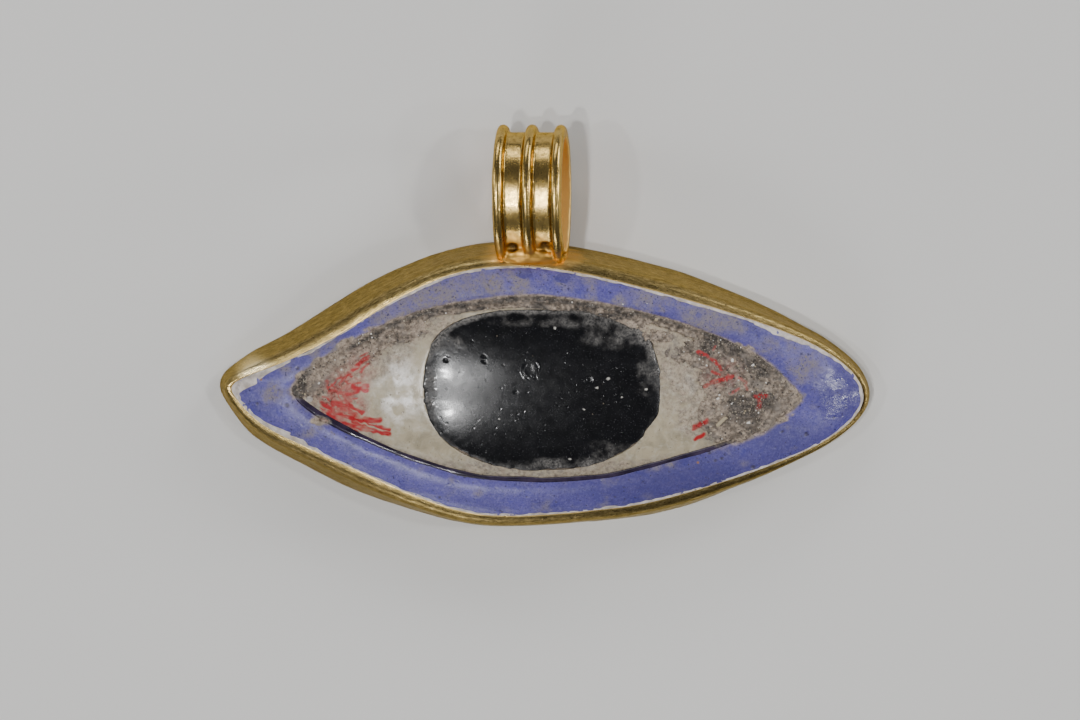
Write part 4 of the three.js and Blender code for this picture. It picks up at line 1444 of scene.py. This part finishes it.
class AMULET_OT_sand_grains(bpy.types.Operator):
    """Scatter sand grains that stick in the dirt, and a flake of straw"""

    bl_idname = "amulet.sand_grains"
    bl_label = "Sand Grains"

    count: bpy.props.IntProperty(
        name="Grains", description="How many grains lie in the dirt", default=1100, min=10,
        max=20000)

    # Corners of a grain, and the shades by which the material knows pebbles and straw.
    CORNERS = 14
    PEBBLE_SHADE = 0.95
    STRAW_SHADE = 0.91
    # Larger pale grains: x, y, half size.
    PEBBLES = ((19.3, -3.3, 0.17), (18.95, -8.6, 0.2), (17.3, -2.75, 0.2), (19.8, -7.7, 0.13),
               (16.0, -6.3, 0.16), (-21.0, -5.0, 0.13), (14.9, -3.2, 0.12))
    # The flake of straw: one end, the other end, width.
    STRAW = ((16.85, -7.95), (15.8, -8.95), 0.42)

    def execute(self, context):
        grid, cover, _ = shared_crust()
        rng = np.random.default_rng(7)
        flat, shown = grid.reshape(-1, 3), cover.reshape(-1)
        wish = areas(grid) * (shown > 0.55) * (0.3 + patches(flat, DARK_PATCHES))
        wish *= 1 - 0.92 * patches(flat, RIM_PATCHES)
        points, faces, shades = [], [], []
        for index in rng.choice(len(flat), self.count, p=wish / wish.sum()):
            size = 0.035 + 0.05 * rng.random() ** 2 + 0.07 * rng.random() ** 12
            middle = flat[index] + (0, 0, size * 0.4)
            self.grain(rng, points, faces, middle, (size, size, size * 0.8), 0)
            shades += [rng.random() ** 1.5] * self.CORNERS
        for x, y, size in self.PEBBLES:
            near = np.argmin(distance_to(flat, x, y))
            self.grain(rng, points, faces, flat[near], (size, size * 0.7, size * 0.7), x)
            shades += [self.PEBBLE_SHADE] * self.CORNERS
        start, end, width = (np.array(value) for value in self.STRAW)
        middle, reach = (start + end) / 2, np.linalg.norm(end - start) / 2
        near = np.argmin(distance_to(flat, *middle))
        angle = math.atan2(*(end - start)[::-1])
        self.grain(rng, points, faces, (*middle, flat[near, 2] + 0.14),
                   (reach, width / 2, 0.08), angle)
        shades += [self.STRAW_SHADE] * self.CORNERS
        mesh = bpy.data.meshes.new("sand_grains")
        mesh.from_pydata((np.array(points) * MM).tolist(), [], faces)
        add_mask(mesh, "shade", shades)
        finish_mesh(mesh)
        piece = place("sand_grains", mesh)
        register_piece(piece, None, self.finish_material())
        return {"FINISHED"}

    @staticmethod
    def grain(rng, points, faces, middle, size, angle):
        """One lumpy grain: two poles and three rings of four, turned by an angle."""
        start = len(points)
        cos, sin = math.cos(angle), math.sin(angle)
        points.append((middle[0], middle[1], middle[2] + size[2] * 0.8))
        for height, width in ((0.45, 0.8), (0.0, 1.0), (-0.45, 0.8)):
            for quarter in range(4):
                turn = quarter * math.pi / 2 + rng.uniform(-0.3, 0.3) + math.pi / 4
                x = math.cos(turn) * size[0] * width * rng.uniform(0.8, 1.25) * 1.2
                y = math.sin(turn) * size[1] * width * rng.uniform(0.8, 1.25) * 1.2
                points.append((middle[0] + x * cos - y * sin, middle[1] + x * sin + y * cos,
                               middle[2] + size[2] * height))
        points.append((middle[0], middle[1], middle[2] - size[2] * 0.8))
        for quarter in range(4):
            after = (quarter + 1) % 4
            faces.append((start, start + 1 + quarter, start + 1 + after))
            for ring in (1, 5):
                low, high = start + ring, start + ring + 4
                faces.append((low + quarter, high + quarter, high + after, low + after))
            faces.append((start + 13, start + 9 + after, start + 9 + quarter))

    @staticmethod
    def finish_material():
        f = Finish("sand")
        shade = f.mask("shade")
        colour = f.coats(
            (0.05, 0.04, 0.035), pale=(f.range(shade, 0.0, 0.8), (0.36, 0.31, 0.24)),
            straw=(f.range(shade, 0.88, 0.885), (0.40, 0.33, 0.22)),
            pebbles=(f.range(shade, 0.945, 0.948), (0.72, 0.69, 0.64)))
        f.shade({"Base Color": colour, "Roughness": 0.6})
        f.bump(f.noise(0.06, 2.0), 0.4, 0.02)
        return f.material


class AMULET_OT_stage(bpy.types.Operator):
    """Lay the pale floor and set soft lights and the camera"""

    bl_idname = "amulet.stage"
    bl_label = "Stage"

    # Name, place in metres, size in metres, power in watts. Each light looks at the pendant.
    LIGHTS = (
        ("left_high", (-0.167, -0.01, 0.59), (0.026, 0.026), 0.85),
        ("left_low", (-0.171, -0.133, 0.572), (0.026, 0.026), 0.7),
        ("left_tip", (-0.375, -0.01, 0.49), (0.03, 0.03), 0.4),
        ("right_high", (0.393, 0.067, 0.478), (0.04, 0.05), 0.5),
        ("right_low", (0.44, -0.14, 0.418), (0.04, 0.03), 0.26),
        ("left_side", (-0.60, 0.16, 0.30), (0.20, 0.40), 0.6),
        ("right_softbox", (0.50, 0.42, 0.26), (0.30, 0.26), 1.5),
        ("loop_softbox", (-0.2, 0.75, 0.36), (0.7, 0.24), 1.6),
        ("loop_inside", (0.55, 0.06, 0.14), (0.12, 0.12), 0.8),
        ("front_fill", (-0.3, -0.80, 0.36), (0.6, 0.22), 1.9),
    )
    # Where the camera looks, in mm, and half the floor's side in metres.
    AIM = (-0.45, -2.75, 6.0)
    FLOOR = 1.6

    def execute(self, context):
        floor = bpy.data.meshes.new("floor")
        corners = ((-1, -1), (1, -1), (1, 1), (-1, 1))
        floor.from_pydata([(x * self.FLOOR, y * self.FLOOR, 0) for x, y in corners], [],
                          [(0, 1, 2, 3)])
        ground = place("floor", floor)
        ground.data.materials.append(self.floor_material())
        for name, where, size, power in self.LIGHTS:
            self.light(name, Vector(where), size, power)
        self.camera()
        self.world()
        return {"FINISHED"}

    @staticmethod
    def floor_material():
        f = Finish("pale_floor")
        shade = f.range(f.noise(120.0, 3.0), 0.3, 0.7)
        f.shade({"Base Color": f.mix(shade, (0.70, 0.69, 0.67), (0.74, 0.73, 0.71)),
                 "Roughness": 0.9})
        return f.material

    @staticmethod
    def light(name, where, size, power):
        data = bpy.data.lights.new(name, "AREA")
        data.shape = "ELLIPSE"
        data.size, data.size_y = size
        data.energy = power
        lamp = bpy.data.objects.new(name, data)
        lamp.location = where
        lamp.rotation_euler = where.to_track_quat("Z", "Y").to_euler()
        bpy.context.scene.collection.objects.link(lamp)

    def camera(self):
        tilt, distance = settings().camera_tilt, settings().camera_distance
        data = bpy.data.cameras.new("camera")
        data.lens = 100
        data.sensor_width = 36
        data.clip_start = 0.01
        camera = bpy.data.objects.new("camera", data)
        away = Vector((0, math.sin(tilt), math.cos(tilt))) * distance
        camera.location = Vector(self.AIM) * MM + away
        camera.rotation_euler = (-tilt, 0, 0)
        bpy.context.scene.collection.objects.link(camera)
        bpy.context.scene.camera = camera

    @staticmethod
    def world():
        world = bpy.data.worlds.new("studio")
        world.use_nodes = True
        background = world.node_tree.nodes["Background"]
        background.inputs["Color"].default_value = (0.80, 0.82, 0.86, 1)
        background.inputs["Strength"].default_value = 0.13
        bpy.context.scene.world = world


OPERATORS = (
    AMULET_OT_stage, AMULET_OT_gold_setting, AMULET_OT_suspension_loop,
    AMULET_OT_plaster_bedding, AMULET_OT_blue_lid, AMULET_OT_lid_line, AMULET_OT_eye_white,
    AMULET_OT_iris, AMULET_OT_dried_dirt, AMULET_OT_sand_grains,
)


class AMULET_PT_panel(bpy.types.Panel):
    """Lists the steps that build the pendant"""

    bl_idname = "AMULET_PT_panel"
    bl_label = "Eye Amulet"
    bl_space_type = "VIEW_3D"
    bl_region_type = "UI"
    bl_category = "Amulet"

    def draw(self, context):
        for name in AmuletFinish.__annotations__:
            self.layout.prop(context.scene.amulet, name)
        for operator in OPERATORS:
            self.layout.operator(operator.bl_idname)


CLASSES = (AmuletFinish, *OPERATORS, AMULET_PT_panel)


def register():
    for cls in CLASSES:
        bpy.utils.register_class(cls)
    bpy.types.Scene.amulet = bpy.props.PointerProperty(type=AmuletFinish)


def unregister():
    del bpy.types.Scene.amulet
    for cls in reversed(CLASSES):
        bpy.utils.unregister_class(cls)


def main():
    register()
    for operator in OPERATORS:
        group, name = operator.bl_idname.split(".")
        getattr(getattr(bpy.ops, group), name)()


if __name__ == "__main__":
    main()
